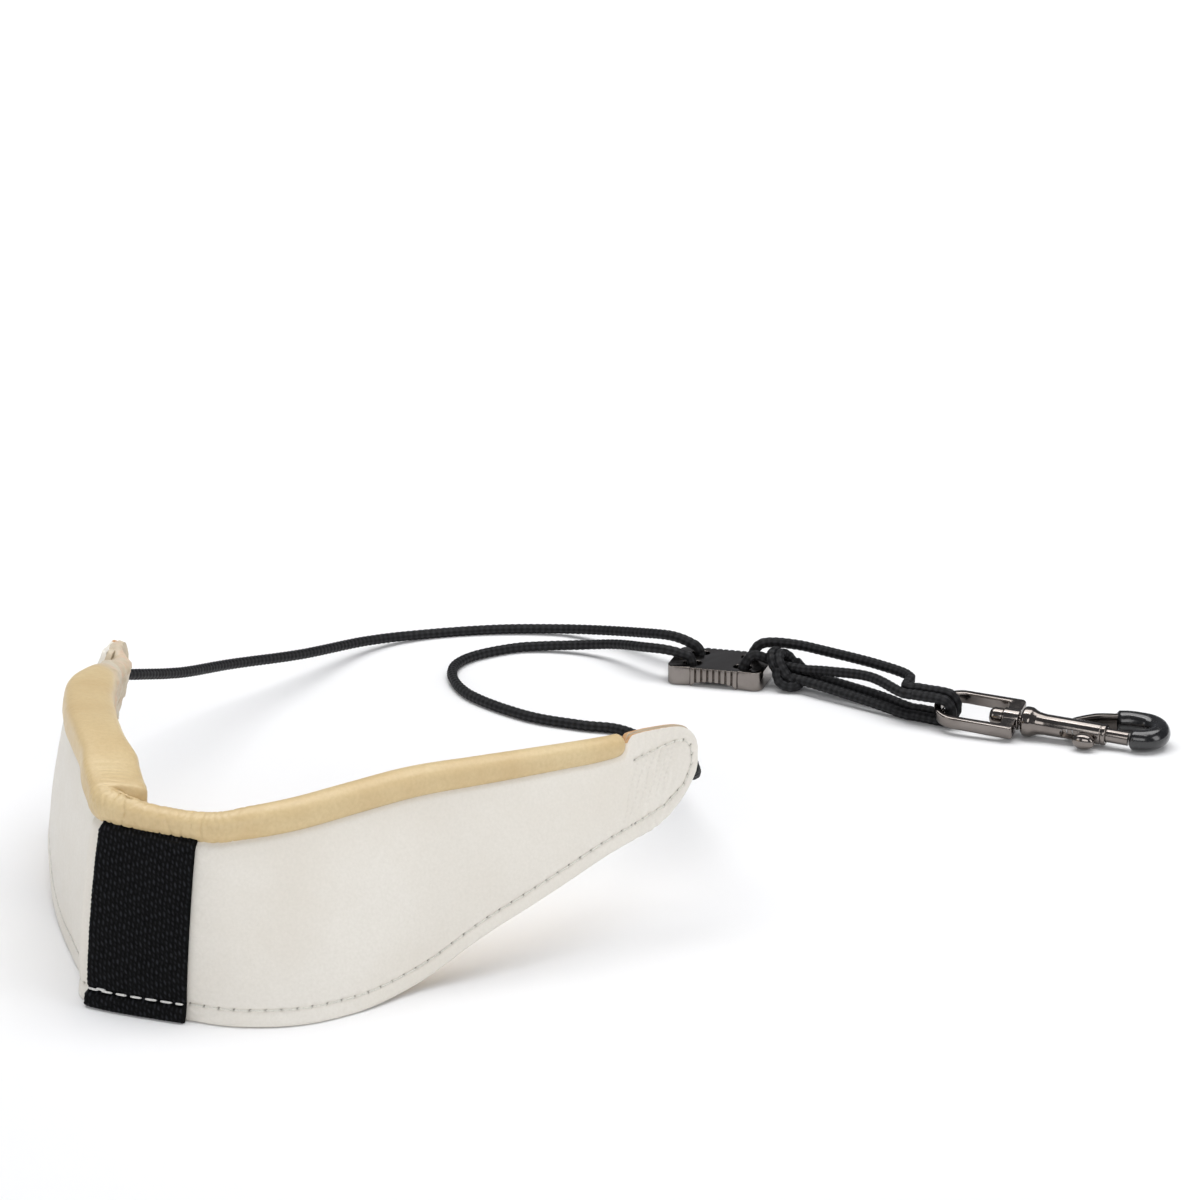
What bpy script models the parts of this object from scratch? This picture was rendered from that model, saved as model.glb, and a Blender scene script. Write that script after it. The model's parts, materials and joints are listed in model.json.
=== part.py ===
"""Saxophone neck strap: padded leather yoke, two cords, a slide adjuster and a swivel snap hook.

The strap lies as it is put down on a table.  The table is z = 0, the origin is the foot of the
webbing label at the back of the pad, +X runs towards the hook and +Y runs towards the cords.
Drawing numbers are in millimetres; add_object() turns them into metres about the origin.
"""

from math import cos, pi, radians, sin, tan

import bmesh
import bpy
from mathutils import Matrix, Vector

MM = 0.001
GAP = 0.3                    # clearance between pieces that touch on the real strap

# Pad: each station is the foot of the outer leather, then the top of its visible face.
CREASE = ((-12.5, 4.4, 0.0), (-9.2, 13.2, 38.0))
RIGHT_STATIONS = (
    CREASE,
    ((11.2, -5.9, 0.0), (13.6, 5.9, 39.0)),
    ((23.5, -9.6, 0.0), (24.6, 5.3, 40.0)),
    ((37.0, -8.5, 0.0), (36.0, 8.7, 41.0)),
    ((49.3, -1.5, 0.0), (48.9, 16.8, 42.0)),
    ((62.3, 10.5, 2.0), (61.9, 25.8, 42.5)),
    ((75.6, 20.0, 8.6), (75.4, 33.0, 42.5)),
    ((89.0, 30.0, 13.8), (89.0, 41.0, 42.2)),
    ((102.9, 42.0, 19.0), (102.9, 50.7, 41.5)),
    ((109.0, 48.5, 20.5), (109.3, 56.5, 41.5)),
)
RIGHT_TIP = (
    ((117.0, 56.5, 22.5), (117.2, 63.8, 44.6)),
    ((123.0, 61.0, 27.5), (123.2, 66.0, 44.2)),
    ((127.0, 64.5, 33.5), (127.0, 66.8, 40.5)),
)
LEFT_STATIONS = (
    CREASE,
    ((-15.8, 16.7, 0.0), (-10.8, 22.2, 41.4)),
    ((-20.0, 29.8, 0.0), (-14.0, 33.3, 43.7)),
    ((-24.5, 43.6, 0.0), (-18.5, 46.0, 45.1)),
    ((-29.3, 60.4, 2.0), (-23.0, 62.0, 44.8)),
    ((-32.8, 77.5, 8.6), (-26.4, 79.0, 44.3)),
    ((-34.4, 94.5, 13.8), (-27.8, 96.0, 43.6)),
    ((-35.0, 113.0, 19.0), (-28.5, 114.0, 42.1)),
    ((-33.0, 121.5, 20.5), (-27.0, 121.5, 42.0)),
)
LEFT_TIP = (
    ((-27.5, 131.0, 22.5), (-23.9, 128.2, 44.0)),
    ((-24.0, 135.3, 27.5), (-21.5, 133.3, 43.6)),
    ((-21.5, 138.5, 32.0), (-20.3, 137.4, 40.5)),
)
LEATHER = 1.2                # outer leather and tip backing thickness
LINING = 1.0
LABEL_THICK = 1.1
LABEL_FROM, LABEL_TO = 0.05, 0.99   # its side edges, as places along the right half
LABEL_MIDDLE = 0.52
ROLL_RADIUS = 4.2            # rolled top edge
ROLL_RISE = 2.6              # its centre above the leather's top edge
ROLL_INSET = 2.4             # and inwards from the leather's outer face
CROWN = 4.2                  # how far the padding swells past its edges
SHOULDER = 1.2               # extra depth just under the rolled edge
TIP_RISE = 5.8               # the flat tip reaches up beside the roll
TIP_START = 0.14             # place on the tip where it has reached its full height
CREASE_SLOT = 3.0            # clear slot beside the fold line
MITRE = radians(38.0)        # bevel of the padding at the fold

# Cord
CORD_RADIUS = 1.5
CORD_SIDES = 8
CORD_STEPS = 3               # points from knot to knot of a cord's path
KNOT_TURN_RADIUS = 3.4       # wraps round the strands
KNOT_HEIGHT = 5.8
KNOT_START = 4.9
KNOT_PITCH = 3.2
KNOT_TURNS = 2

# Adjuster plate: centre, heading and size
PLATE_CENTRE = (138.4, 236.5, 0.2)
PLATE_HEADING = -16.0
PLATE_LONG = 28.5
PLATE_WIDE = 20.0
PLATE_HIGH = 5.4
PLATE_CORNER = 3.0
RIB_COUNT = 8
RIB_PITCH = 1.8
RIB_DEPTH = 0.7
HOLE_X = 7.5
HOLE_Y = 4.8
HOLE_LONG = 5.6
HOLE_WIDE = 4.2
HOLE_CORNER = 1.9
CHANNEL_LONG = 22.0
CHANNEL_WIDE = 15.6
CHANNEL_HIGH = 3.6
ARCH_LONG = 13.0
ARCH_HIGH = 1.4

# Drop: four strands from the adjuster to the hook
DROP_HEADING = -39.1
LOOP_HEADING = -31.0         # the loops lie between the drop's heading and the hook's
LOOP_SPREAD = 1.7            # each loop's side offset on the bail
LOOP_RISE = 3.55             # strand centre above and below the bail's end bar

# Hook: its axis starts at the collar's back face
HOOK_START = (220.1, 185.1, 4.6)
HOOK_HEADING = -23.3
HOOK_DIP = 2.3               # nose down
HOOK_ROLL = 7.0              # far side up
STUD_TILT = 7.0              # the thumb stud sits this far below the hook's plane
BAIL_ROLL = 16.0
BAIL_BACK = 24.4             # end bar's distance behind the collar
BAIL_HALF = 6.5              # centre line half width
BAIL_THICK = 2.0
BAIL_HIGH = 3.6
BASE_FRONT = -1.1
BASE_BACK = -5.1
BORE_RADIUS = 2.25
RIVET_BORE = 1.85            # clearance for the swivel rivet's shank
BOLT_RADIUS = 1.95
BOLT_BACK = 16.0
BOLT_FRONT = 30.1
STUD_X = 18.6
STUD_OVAL = 0.74             # the thumb stud's height against its length
TRIGGER_TRAVEL = 6.0
ARM_RADIUS = 1.5
ARM_REACH = 10.8             # lateral distance from bolt axis to the back of the hook
ARM_CENTRE_X = 31.6
ARM_ROOT_X = 12.5
COVER_INNER = 1.8
COVER_OUTER = 2.9
NOSE_X = 30.6


# ---------------------------------------------------------------- helpers

def clear_scene():
    for obj in list(bpy.data.objects):
        bpy.data.objects.remove(obj, do_unlink=True)


def material(name, colour, roughness, metallic=0.0):
    mat = bpy.data.materials.new(name)
    mat.use_nodes = True
    shader = mat.node_tree.nodes["Principled BSDF"]
    shader.inputs["Base Color"].default_value = (*colour, 1.0)
    shader.inputs["Roughness"].default_value = roughness
    shader.inputs["Metallic"].default_value = metallic
    return mat


def heading_frame(origin, heading, dip=0.0, roll=0.0):
    """Matrix whose X runs along a heading, in millimetres."""
    turn = Matrix.Rotation(radians(heading), 4, "Z")
    tilt = Matrix.Rotation(radians(dip), 4, "Y")
    spin = Matrix.Rotation(radians(roll), 4, "X")
    return Matrix.Translation(Vector(origin)) @ turn @ tilt @ spin


def add_object(name, bm, mat, pivot=(0.0, 0.0, 0.0)):
    """Make a smooth shaded object from a bmesh in drawing millimetres, with its origin at a pivot."""
    bmesh.ops.recalc_face_normals(bm, faces=bm.faces)
    centre = Vector(pivot)
    for vert in bm.verts:
        vert.co = (vert.co - centre) * MM
    mesh = bpy.data.meshes.new(name)
    bm.to_mesh(mesh)
    bm.free()
    mesh.shade_smooth()
    mesh.set_sharp_from_angle(angle=radians(35.0))
    mesh.materials.append(mat)
    obj = bpy.data.objects.new(name, mesh)
    obj.location = (centre - ORIGIN) * MM
    bpy.context.scene.collection.objects.link(obj)
    return obj


def add_rings(bm, rings, close_ends=True):
    """Skin a list of equal closed rings and cap the two ends."""
    rows = [[bm.verts.new(point) for point in ring] for ring in rings]
    for low, high in zip(rows, rows[1:]):
        for i in range(len(low)):
            j = (i + 1) % len(low)
            bm.faces.new((low[i], low[j], high[j], high[i]))
    if close_ends:
        bm.faces.new(rows[0])
        bm.faces.new(rows[-1])
    return rows


def smooth_path(points, steps):
    """Catmull-Rom curve through the points."""
    knots = [Vector(p) for p in points]
    knots = [knots[0] * 2 - knots[1]] + knots + [knots[-1] * 2 - knots[-2]]
    path = []
    for k in range(1, len(knots) - 2):
        for step in range(steps):
            path.append(blend_knots(knots[k - 1:k + 3], step / steps))
    path.append(knots[-2].copy())
    return path


def blend_knots(four, t):
    a, b, c, d = four
    return 0.5 * ((2 * b) + (c - a) * t + (2 * a - 5 * b + 4 * c - d) * t ** 2
                  + (3 * b - a - 3 * c + d) * t ** 3)


def tube_rings(path, radius, sides):
    """Rings of a round tube that doesn't twist."""
    rings = []
    side = None
    for i, point in enumerate(path):
        ahead = path[min(i + 1, len(path) - 1)]
        behind = path[max(i - 1, 0)]
        along = (ahead - behind).normalized()
        if side is None:
            side = along.orthogonal().normalized()
        side = (side - along * side.dot(along)).normalized()
        up = along.cross(side)
        ring = []
        for k in range(sides):
            angle = 2 * pi * k / sides
            ring.append(point + (side * cos(angle) + up * sin(angle)) * radius)
        rings.append(ring)
    return rings


def add_cord(name, points, mat, pivot=(0.0, 0.0, 0.0)):
    bm = bmesh.new()
    add_rings(bm, tube_rings(smooth_path(points, CORD_STEPS), CORD_RADIUS, CORD_SIDES))
    add_object(name, bm, mat, pivot)


def add_turned(bm, profile, frame, sides=20):
    """Turn a closed (along, radius) profile about the frame's X axis."""
    first = None
    previous = None
    for k in range(sides):
        angle = 2 * pi * k / sides
        row = [bm.verts.new(frame @ Vector((x, r * cos(angle), r * sin(angle)))) for x, r in profile]
        if previous is None:
            first = row
        else:
            bridge_rows(bm, previous, row)
        previous = row
    bridge_rows(bm, previous, first)
    bmesh.ops.remove_doubles(bm, verts=bm.verts, dist=1e-5)


def bridge_rows(bm, low, high):
    for i in range(len(low) - 1):
        corners = [low[i], low[i + 1], high[i + 1], high[i]]
        bm.faces.new(corners)


def add_prism(bm, outline, low, high, frame):
    """Extrude a flat outline between two heights of a frame."""
    rings = [[frame @ Vector((x, y, z)) for x, y in outline] for z in (low, high)]
    add_rings(bm, rings)


def rounded_rectangle(long, wide, corner, steps=5):
    points = []
    for quarter in range(4):
        start = quarter * pi / 2
        cx = (long / 2 - corner) * (1 if quarter in (0, 3) else -1)
        cy = (wide / 2 - corner) * (1 if quarter in (0, 1) else -1)
        for k in range(steps + 1):
            angle = start + k * pi / 2 / steps
            points.append((cx + corner * cos(angle), cy + corner * sin(angle)))
    return points


def cutter(name, bm):
    obj = add_object(name, bm, bpy.data.materials["cutter"])
    obj.hide_render = True
    obj.display_type = "WIRE"
    return obj


def combine(obj, tool, operation):
    modifier = obj.modifiers.new(tool.name, "BOOLEAN")
    modifier.operation = operation
    modifier.solver = "EXACT"
    modifier.object = tool


# ---------------------------------------------------------------- pad

class PadHalf:
    """One half of the yoke: a leaning surface between a foot line and a top line."""

    def __init__(self, stations, tip, inward_sign):
        last_foot, last_top = (Vector(p) for p in stations[-1])
        rise = (last_top - last_foot).normalized()
        shoulder = (last_foot, last_top + rise * TIP_RISE)
        self.sign = inward_sign
        self.body_feet = [Vector(p[0]) for p in stations]
        self.body_tops = [Vector(p[1]) for p in stations]
        self.tip_feet = [shoulder[0]] + [Vector(p[0]) for p in tip]
        self.tip_tops = [shoulder[1]] + [Vector(p[1]) for p in tip]

    def edges(self, u, part):
        """Foot point, top point and direction along the pad at place u of the body or the tip."""
        feet, tops = (self.body_feet, self.body_tops) if part == "body" else (self.tip_feet, self.tip_tops)
        foot = curve_at(feet, u)
        foot.z = max(foot.z, 0.0)
        top = curve_at(tops, u)
        ahead = curve_at(feet, u + 0.02) + curve_at(tops, u + 0.02)
        behind = curve_at(feet, u - 0.02) + curve_at(tops, u - 0.02)
        return foot, top, (ahead - behind).normalized()

    def place(self, u, height, depth, part="body", mitre=None):
        """Point at a height above the foot line and a depth inwards from the outer face."""
        foot, top, along = self.edges(u, part)
        rise = (top - foot).normalized()
        inward = rise.cross(along).normalized() * self.sign
        level = -depth * inward.z / rise.z * max(0.0, 1.0 - height / 12.0)
        point = foot + rise * (height + level) + inward * depth
        if mitre is not None:
            point += along * (mitre + max(depth, 0.0) * tan(MITRE))
        return point

    def width(self, u, part="body"):
        foot, top, _ = self.edges(u, part)
        return (top - foot).length


def curve_at(points, u):
    """Smooth curve through the points at place u, straight beyond its ends."""
    last = len(points) - 1
    if u <= 0.0:
        return points[0] + (points[1] - points[0]) * u
    if u >= last:
        return points[last] + (points[last] - points[last - 1]) * (u - last)
    k = int(u)
    before = points[k - 1] if k > 0 else points[0] * 2 - points[1]
    after = points[k + 2] if k + 2 <= last else points[last] * 2 - points[last - 1]
    return blend_knots((before, points[k], points[k + 1], after), u - k)


def plumpness(share):
    """Padding swell along a half: full behind the neck, thin at the tip."""
    return 1.0 - 0.72 * share ** 2.2


def inner_depth(share, width, height):
    """Depth of the lining's outer surface at a height on the inner side."""
    x = min(max(height / width, 0.0), 1.0)
    top_depth = ROLL_INSET + roll_radius(share) * 0.93 + SHOULDER * plumpness(share)
    edge = (LEATHER + 2 * GAP + LINING) * (1 - x ** 0.8) + top_depth * x ** 0.8
    return edge + CROWN * plumpness(share) * sin(pi * x)


def roll_share(share):
    """Size of the rolled edge against its size behind the neck."""
    return 0.55 + 0.45 * plumpness(share)


def roll_radius(share):
    return ROLL_RADIUS * roll_share(share)


def body_places(half, first):
    """Places along a half, from the fold to the end of the padding."""
    last = len(half.body_feet) - 1
    count = 2 * last
    places = [first + (last - first) * k / (count - 2) for k in range(count - 1)]
    return [0.0] + places


def lining_profile(share, width):
    """Closed outline of the lining: rolled top edge and inner sheet, as (height, depth)."""
    radius = roll_radius(share)
    centre = (width + ROLL_RISE * roll_share(share), ROLL_INSET)
    outline = []
    for k in range(9):
        angle = radians(-125.0 + 225.0 * k / 8)
        outline.append((centre[0] + radius * cos(angle), centre[1] + radius * sin(angle)))
    shares = (0.97, 0.85, 0.65, 0.45, 0.25, 0.1, 0.0)
    for x in shares:
        outline.append((width * x + GAP * (1 - x), inner_depth(share, width, width * x)))
    for x in reversed(shares):
        height = min(width * x + GAP * (1 - x), width - 3 * GAP)
        outline.append((height, inner_depth(share, width, width * x) - LINING))
    outline.append((width + GAP / 2, inner_depth(share, width, width) - LINING))
    return outline


def foam_profile(share, width):
    """Closed outline of the foam between outer leather and lining."""
    back = LEATHER + GAP
    outline = [(2.0, back), (width - 2 * GAP, back)]
    for x in (0.96, 0.85, 0.65, 0.45, 0.25, 0.1):
        depth = inner_depth(share, width, width * x) - LINING - GAP
        outline.append((max(width * x, 2.0) - 2 * GAP * (x > 0.95), depth))
    return outline


def pad_rings(half, profile, first):
    """Rings of a padded piece; the one at the fold is bevelled to let the pad close."""
    rings = []
    places = body_places(half, first)
    last = places[-1]
    for u in places:
        share = u / last
        outline = profile(share, half.width(u))
        mitre = CREASE_SLOT if u == 0.0 else None
        rings.append([half.place(u, height, depth, mitre=mitre) for height, depth in outline])
    return rings


def add_pad_piece(name, half, profile, first, mat, pivot):
    bm = bmesh.new()
    add_rings(bm, pad_rings(half, profile, first))
    add_object(name, bm, mat, pivot)


def add_outer_leather(name, half, first, mat, pivot):
    """Outer leather: follows the pad's face, then widens into the flat tip."""
    rings = []
    for u in body_places(half, first):
        mitre = CREASE_SLOT if u == 0.0 else None
        top = half.width(u) - GAP / 2
        rings.append(sheet_ring(half, u, "body", top, 0.0, mitre))
    for u in tip_places(half):
        rings.append(sheet_ring(half, u, "tip", half.width(u, "tip"), 0.0))
    bm = bmesh.new()
    add_rings(bm, rings)
    add_object(name, bm, mat, pivot)


def tip_places(half):
    last = len(half.tip_feet) - 1
    return [TIP_START + (last - TIP_START) * k / 7 for k in range(8)]


def sheet_ring(half, u, part, top, depth, mitre=None):
    back = depth + LEATHER
    middle = top * 0.5
    outline = ((0.0, depth), (middle, depth), (top, depth), (top, back), (middle, back), (0.0, back))
    return [half.place(u, height, deep, part, mitre) for height, deep in outline]


def add_tip_backing(name, half, mat, pivot):
    bm = bmesh.new()
    rings = []
    for u in tip_places(half):
        rings.append(sheet_ring(half, u, "tip", half.width(u, "tip"), LEATHER + GAP))
    add_rings(bm, rings)
    add_object(name, bm, mat, pivot)


def add_label(half, mat):
    """Webbing label over the back of the pad; its folded lower end is flat on the table."""
    outer = -GAP - LABEL_THICK
    rings = []
    for k in range(6):
        u = LABEL_FROM + (LABEL_TO - LABEL_FROM) * k / 5
        top = half.width(u) - GAP
        outline = ((0.0, outer), (top, outer), (top, -GAP), (0.0, -GAP))
        rings.append([half.place(u, height, depth) for height, depth in outline])
    bm = bmesh.new()
    add_rings(bm, rings)
    add_object("back_label", bm, mat)


# ---------------------------------------------------------------- adjuster and cords

def plate_frame():
    return heading_frame(PLATE_CENTRE, PLATE_HEADING)


def plate_outline():
    """Rounded plate with thumb ribs along both long edges."""
    outline = rounded_rectangle(PLATE_LONG, PLATE_WIDE, PLATE_CORNER)
    ribs = []
    start = -RIB_COUNT * RIB_PITCH / 2
    for k in range(RIB_COUNT):
        x = start + k * RIB_PITCH
        ribs.append((x, PLATE_WIDE / 2 - RIB_DEPTH))
        ribs.append((x + RIB_PITCH * 0.2, PLATE_WIDE / 2))
        ribs.append((x + RIB_PITCH * 0.8, PLATE_WIDE / 2))
    ribs.append((start + RIB_COUNT * RIB_PITCH, PLATE_WIDE / 2 - RIB_DEPTH))
    back = list(reversed(ribs))
    front = [(x, -y) for x, y in ribs]
    quarter = len(outline) // 4
    return outline[:quarter] + back + outline[quarter:3 * quarter] + front + outline[3 * quarter:]


def add_plate(mat):
    frame = plate_frame()
    bm = bmesh.new()
    add_prism(bm, plate_outline(), 0.0, PLATE_HIGH, frame)
    plate = add_object("adjuster_plate", bm, mat, PLATE_CENTRE)
    combine(plate, channel_cutter(frame), "DIFFERENCE")
    combine(plate, arch_cutter(frame), "DIFFERENCE")
    combine(plate, hole_cutter(frame), "DIFFERENCE")


def channel_cutter(frame):
    bm = bmesh.new()
    add_prism(bm, rounded_rectangle(CHANNEL_LONG, CHANNEL_WIDE, 2.0), -1.0, CHANNEL_HIGH, frame)
    return cutter("channel_cutter", bm)


def arch_cutter(frame):
    """A long low arch through both side walls."""
    bm = bmesh.new()
    outline = []
    for k in range(9):
        angle = pi * k / 8
        outline.append((ARCH_LONG / 2 * cos(angle), ARCH_HIGH * sin(angle)))
    half = PLATE_WIDE
    rings = []
    for side in (-half, half):
        ring = [frame @ Vector((x, side, z)) for x, z in outline]
        ring.append(frame @ Vector((-ARCH_LONG / 2, side, -1.0)))
        ring.append(frame @ Vector((ARCH_LONG / 2, side, -1.0)))
        rings.append(ring)
    add_rings(bm, rings)
    return cutter("arch_cutter", bm)


def hole_cutter(frame):
    bm = bmesh.new()
    outline = rounded_rectangle(HOLE_LONG, HOLE_WIDE, HOLE_CORNER, 3)
    for x in (-HOLE_X, HOLE_X):
        for y in (-HOLE_Y, HOLE_Y):
            moved = [(px + x, py + y) for px, py in outline]
            add_prism(bm, moved, CHANNEL_HIGH - 0.5, PLATE_HIGH + 1.0, frame)
    return cutter("hole_cutter", bm)


def add_weave(name, side, mat):
    """Cord through the plate: down one hole, under the web and up the other."""
    frame = plate_frame()
    low = 0.3 + CORD_RADIUS
    rise = ((HOLE_X + 1.3, 7.3), (HOLE_X + 0.2, 5.4), (HOLE_X - 0.35, 3.6), (HOLE_X - 2.2, low + 0.05))
    points = [(-x, side * HOLE_Y, z) for x, z in rise]
    points.append((0.0, side * HOLE_Y, low))
    points += [(x, side * HOLE_Y, z) for x, z in reversed(rise)]
    add_cord(name, [frame @ Vector(p) for p in points], mat, PLATE_CENTRE)


def add_cord_runs(mat):
    """The long cords from the pad's tips to the adjuster."""
    frame = plate_frame()
    right_end = [frame @ Vector(p) for p in ((-19.0, -6.0, 9.0), (-13.5, -5.4, 9.6), (-9.9, -4.9, 8.6))]
    left_end = [frame @ Vector(p) for p in ((-19.0, 8.0, 9.0), (-13.5, 6.4, 9.8), (-9.9, 4.9, 8.7))]
    low = CORD_RADIUS
    right = [(121.6, 70.6, 36.5), (125.0, 71.6, 35.0), (126.6, 74.0, 31.0), (126.2, 82.0, 26.5),
             (124.0, 100.0, 20.5), (121.5, 130.0, 12.0), (118.5, 160.0, 4.5), (114.5, 178.0, 1.8),
             (107.5, 187.0, low), (97.0, 190.5, low), (81.5, 198.9, low), (65.1, 217.4, low),
             (59.6, 237.5, low), (64.6, 251.7, low), (80.0, 261.5, low), (97.0, 260.0, 2.5),
             (108.0, 252.0, 5.5)]
    left = [(-19.9, 139.6, 33.4), (-18.2, 147.0, 30.0), (-10.5, 171.0, 23.3), (-0.5, 200.0, 16.2),
            (16.0, 231.0, 9.0), (33.0, 261.0, 3.5), (49.8, 274.0, low), (72.0, 279.0, low),
            (93.8, 277.0, 2.2), (109.0, 266.0, 5.0)]
    add_cord("right_cord_run", right + right_end, mat)
    add_cord("left_cord_run", left + left_end, mat)


def drop_frame():
    """X runs from the adjuster's hook end to the bail."""
    pivot = plate_frame() @ Vector((PLATE_LONG / 2 - 0.2, 0.0, 0.0))
    return heading_frame(pivot, DROP_HEADING)


def loop_frame():
    """At the bail's end bar: X towards the cords, rolled with the bail."""
    bar = hook_frame(0.0) @ Vector((-BAIL_BACK, 0.0, 0.0))
    return heading_frame(bar, LOOP_HEADING + 180.0, 0.0, -BAIL_ROLL)


def add_drop(mat):
    """Four strands between adjuster and bail, the loops round the bail, and the knot."""
    frame = drop_frame()
    loops = loop_frame()
    over = {"left": -LOOP_SPREAD, "right": LOOP_SPREAD}
    ends = {}
    for side, offset in over.items():
        for name, sign in (("out", 1), ("back", -1)):
            ends[side, name] = [loops @ Vector((x, offset, sign * LOOP_RISE)) for x in (10.5, 6.6)]
    starts = {
        ("left", "out"): ((-6.55, 2.45, 7.7), (-5.9, 3.1, 9.2), (-3.0, 5.4, 10.2), (4.5, 8.0, 10.4),
                          (14.0, 8.3, 10.4), (33.0, 6.9, 10.6), (46.0, 4.3, 10.2)),
        ("right", "out"): ((-2.7, -6.25, 7.8), (-1.9, -5.4, 9.0), (0.8, -1.6, 7.4), (3.4, -0.1, 6.0),
                           (12.0, 0.0, 6.2), (22.0, 0.0, 7.6), (36.0, -0.4, 9.0)),
        ("left", "back"): ((12.6, 2.4, 3.6), (22.0, 2.2, 3.4), (38.0, 1.9, 2.8)),
        ("right", "back"): ((12.6, -1.9, 3.2), (22.0, -2.2, 2.9), (38.0, -2.6, 2.1)),
    }
    for key, points in starts.items():
        path = [frame @ Vector(p) for p in points] + ends[key]
        add_cord(f"{key[0]}_strand_{key[1]}", path, mat, frame.translation)
    for side, offset in over.items():
        add_bail_loop(f"{side}_bail_loop", loops, offset, mat)
    add_knot(frame, mat)


def add_bail_loop(name, loops, offset, mat):
    """Half turn of cord round the end bar."""
    points = [(6.2, LOOP_RISE), (3.0, LOOP_RISE + 0.05), (0.2, LOOP_RISE + 0.15), (-3.4, 3.2), (-4.8, 0.0)]
    points += [(x, -z) for x, z in reversed(points[:-1])]
    path = [loops @ Vector((x, offset, z)) for x, z in points]
    add_cord(name, path, mat, loops.translation)


def add_knot(frame, mat):
    """Two wraps of cord round the strands beside the adjuster."""
    path = []
    steps = 12
    for k in range(KNOT_TURNS * steps + 1):
        angle = 2 * pi * k / steps - pi / 2
        x = KNOT_START + KNOT_PITCH * k / steps
        y = KNOT_TURN_RADIUS * cos(angle)
        z = KNOT_HEIGHT + KNOT_TURN_RADIUS * sin(angle)
        path.append(frame @ Vector((x, y, z)))
    bm = bmesh.new()
    add_rings(bm, tube_rings(path, CORD_RADIUS, CORD_SIDES))
    add_object("strand_knot", bm, mat, frame.translation)


# ---------------------------------------------------------------- hook

def hook_frame(roll=HOOK_ROLL):
    return heading_frame(HOOK_START, HOOK_HEADING, HOOK_DIP, roll)


def add_bail(mat):
    """Stirrup bail: rounded end for the cords, straight arms and a bored base."""
    frame = hook_frame(BAIL_ROLL)
    bm = bmesh.new()
    outline = bail_outline(BAIL_HALF + BAIL_THICK / 2, BASE_FRONT)
    add_prism(bm, outline, -BAIL_HIGH / 2, BAIL_HIGH / 2, frame)
    pivot = frame @ Vector((-BAIL_BACK, 0.0, 0.0))
    bail = add_object("bail", bm, mat, pivot)
    combine(bail, base_boss(frame), "UNION")
    window = bmesh.new()
    add_prism(window, bail_outline(BAIL_HALF - BAIL_THICK / 2, BASE_BACK), -BAIL_HIGH, BAIL_HIGH, frame)
    combine(bail, cutter("window_cutter", window), "DIFFERENCE")
    bore = bmesh.new()
    add_turned(bore, ((-9.0, 0.0), (-9.0, RIVET_BORE), (1.0, RIVET_BORE), (1.0, 0.0)), frame)
    combine(bail, cutter("rivet_bore", bore), "DIFFERENCE")


def bail_outline(half, front):
    """U outline: a half circle at the cord end and square corners at the base."""
    centre = -BAIL_BACK + BAIL_HALF
    outline = [(front, half)]
    for k in range(13):
        angle = pi / 2 + pi * k / 12
        outline.append((centre + half * cos(angle), half * sin(angle)))
    outline.append((front, -half))
    return outline


def base_boss(frame):
    bm = bmesh.new()
    profile = ((BASE_BACK, 0.0), (BASE_BACK, 3.1), (BASE_FRONT, 3.1), (BASE_FRONT, 0.0))
    add_turned(bm, profile, frame)
    return cutter("base_boss", bm)


def add_rivet(mat):
    """Domed swivel rivet: head inside the bail, shank through its base into the collar."""
    profile = ((-9.6, 0.0), (-9.4, 1.5), (-8.8, 2.3), (-8.2, 2.5), (-5.5, 2.5), (-5.5, 1.5),
               (2.6, 1.5), (2.6, 0.0))
    bm = bmesh.new()
    add_turned(bm, profile, hook_frame())
    add_object("swivel_rivet", bm, mat, HOOK_START)


def add_hook_body(mat):
    """Bell collar and barrel in one turned piece, with the curved arm growing from its side."""
    frame = hook_frame()
    profile = ((0.0, 0.0), (0.0, 3.7), (0.6, 4.2), (2.6, 4.2), (4.2, 3.3), (6.0, 2.95), (23.2, 2.95),
               (23.9, 2.7), (23.9, 0.0))
    bm = bmesh.new()
    add_turned(bm, profile, frame, 24)
    body = add_object("hook_body", bm, mat, HOOK_START)
    arm = bmesh.new()
    add_rings(arm, tube_rings([frame @ p for p in arm_path(True)], ARM_RADIUS, 10))
    combine(body, cutter("hook_arm", arm), "UNION")
    bore = bmesh.new()
    add_turned(bore, ((5.0, 0.0), (5.0, BORE_RADIUS), (25.0, BORE_RADIUS), (25.0, 0.0)), frame)
    combine(body, cutter("bolt_bore", bore), "DIFFERENCE")
    socket = bmesh.new()
    add_turned(socket, ((-1.0, 0.0), (-1.0, RIVET_BORE), (3.0, RIVET_BORE), (3.0, 0.0)), frame)
    combine(body, cutter("rivet_socket", socket), "DIFFERENCE")
    slot = bmesh.new()
    outline = rounded_rectangle(TRIGGER_TRAVEL + 3.6, 3.0, 1.45, 4)
    tilted = frame @ Matrix.Rotation(radians(STUD_TILT), 4, "X")
    middle = Matrix.Translation((STUD_X - TRIGGER_TRAVEL / 2, 0.0, 0.0))
    side = tilted @ middle @ Matrix.Rotation(pi / 2, 4, "X")
    add_prism(slot, outline, 0.8, 5.0, side)
    combine(body, cutter("stud_slot", slot), "DIFFERENCE")


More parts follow.
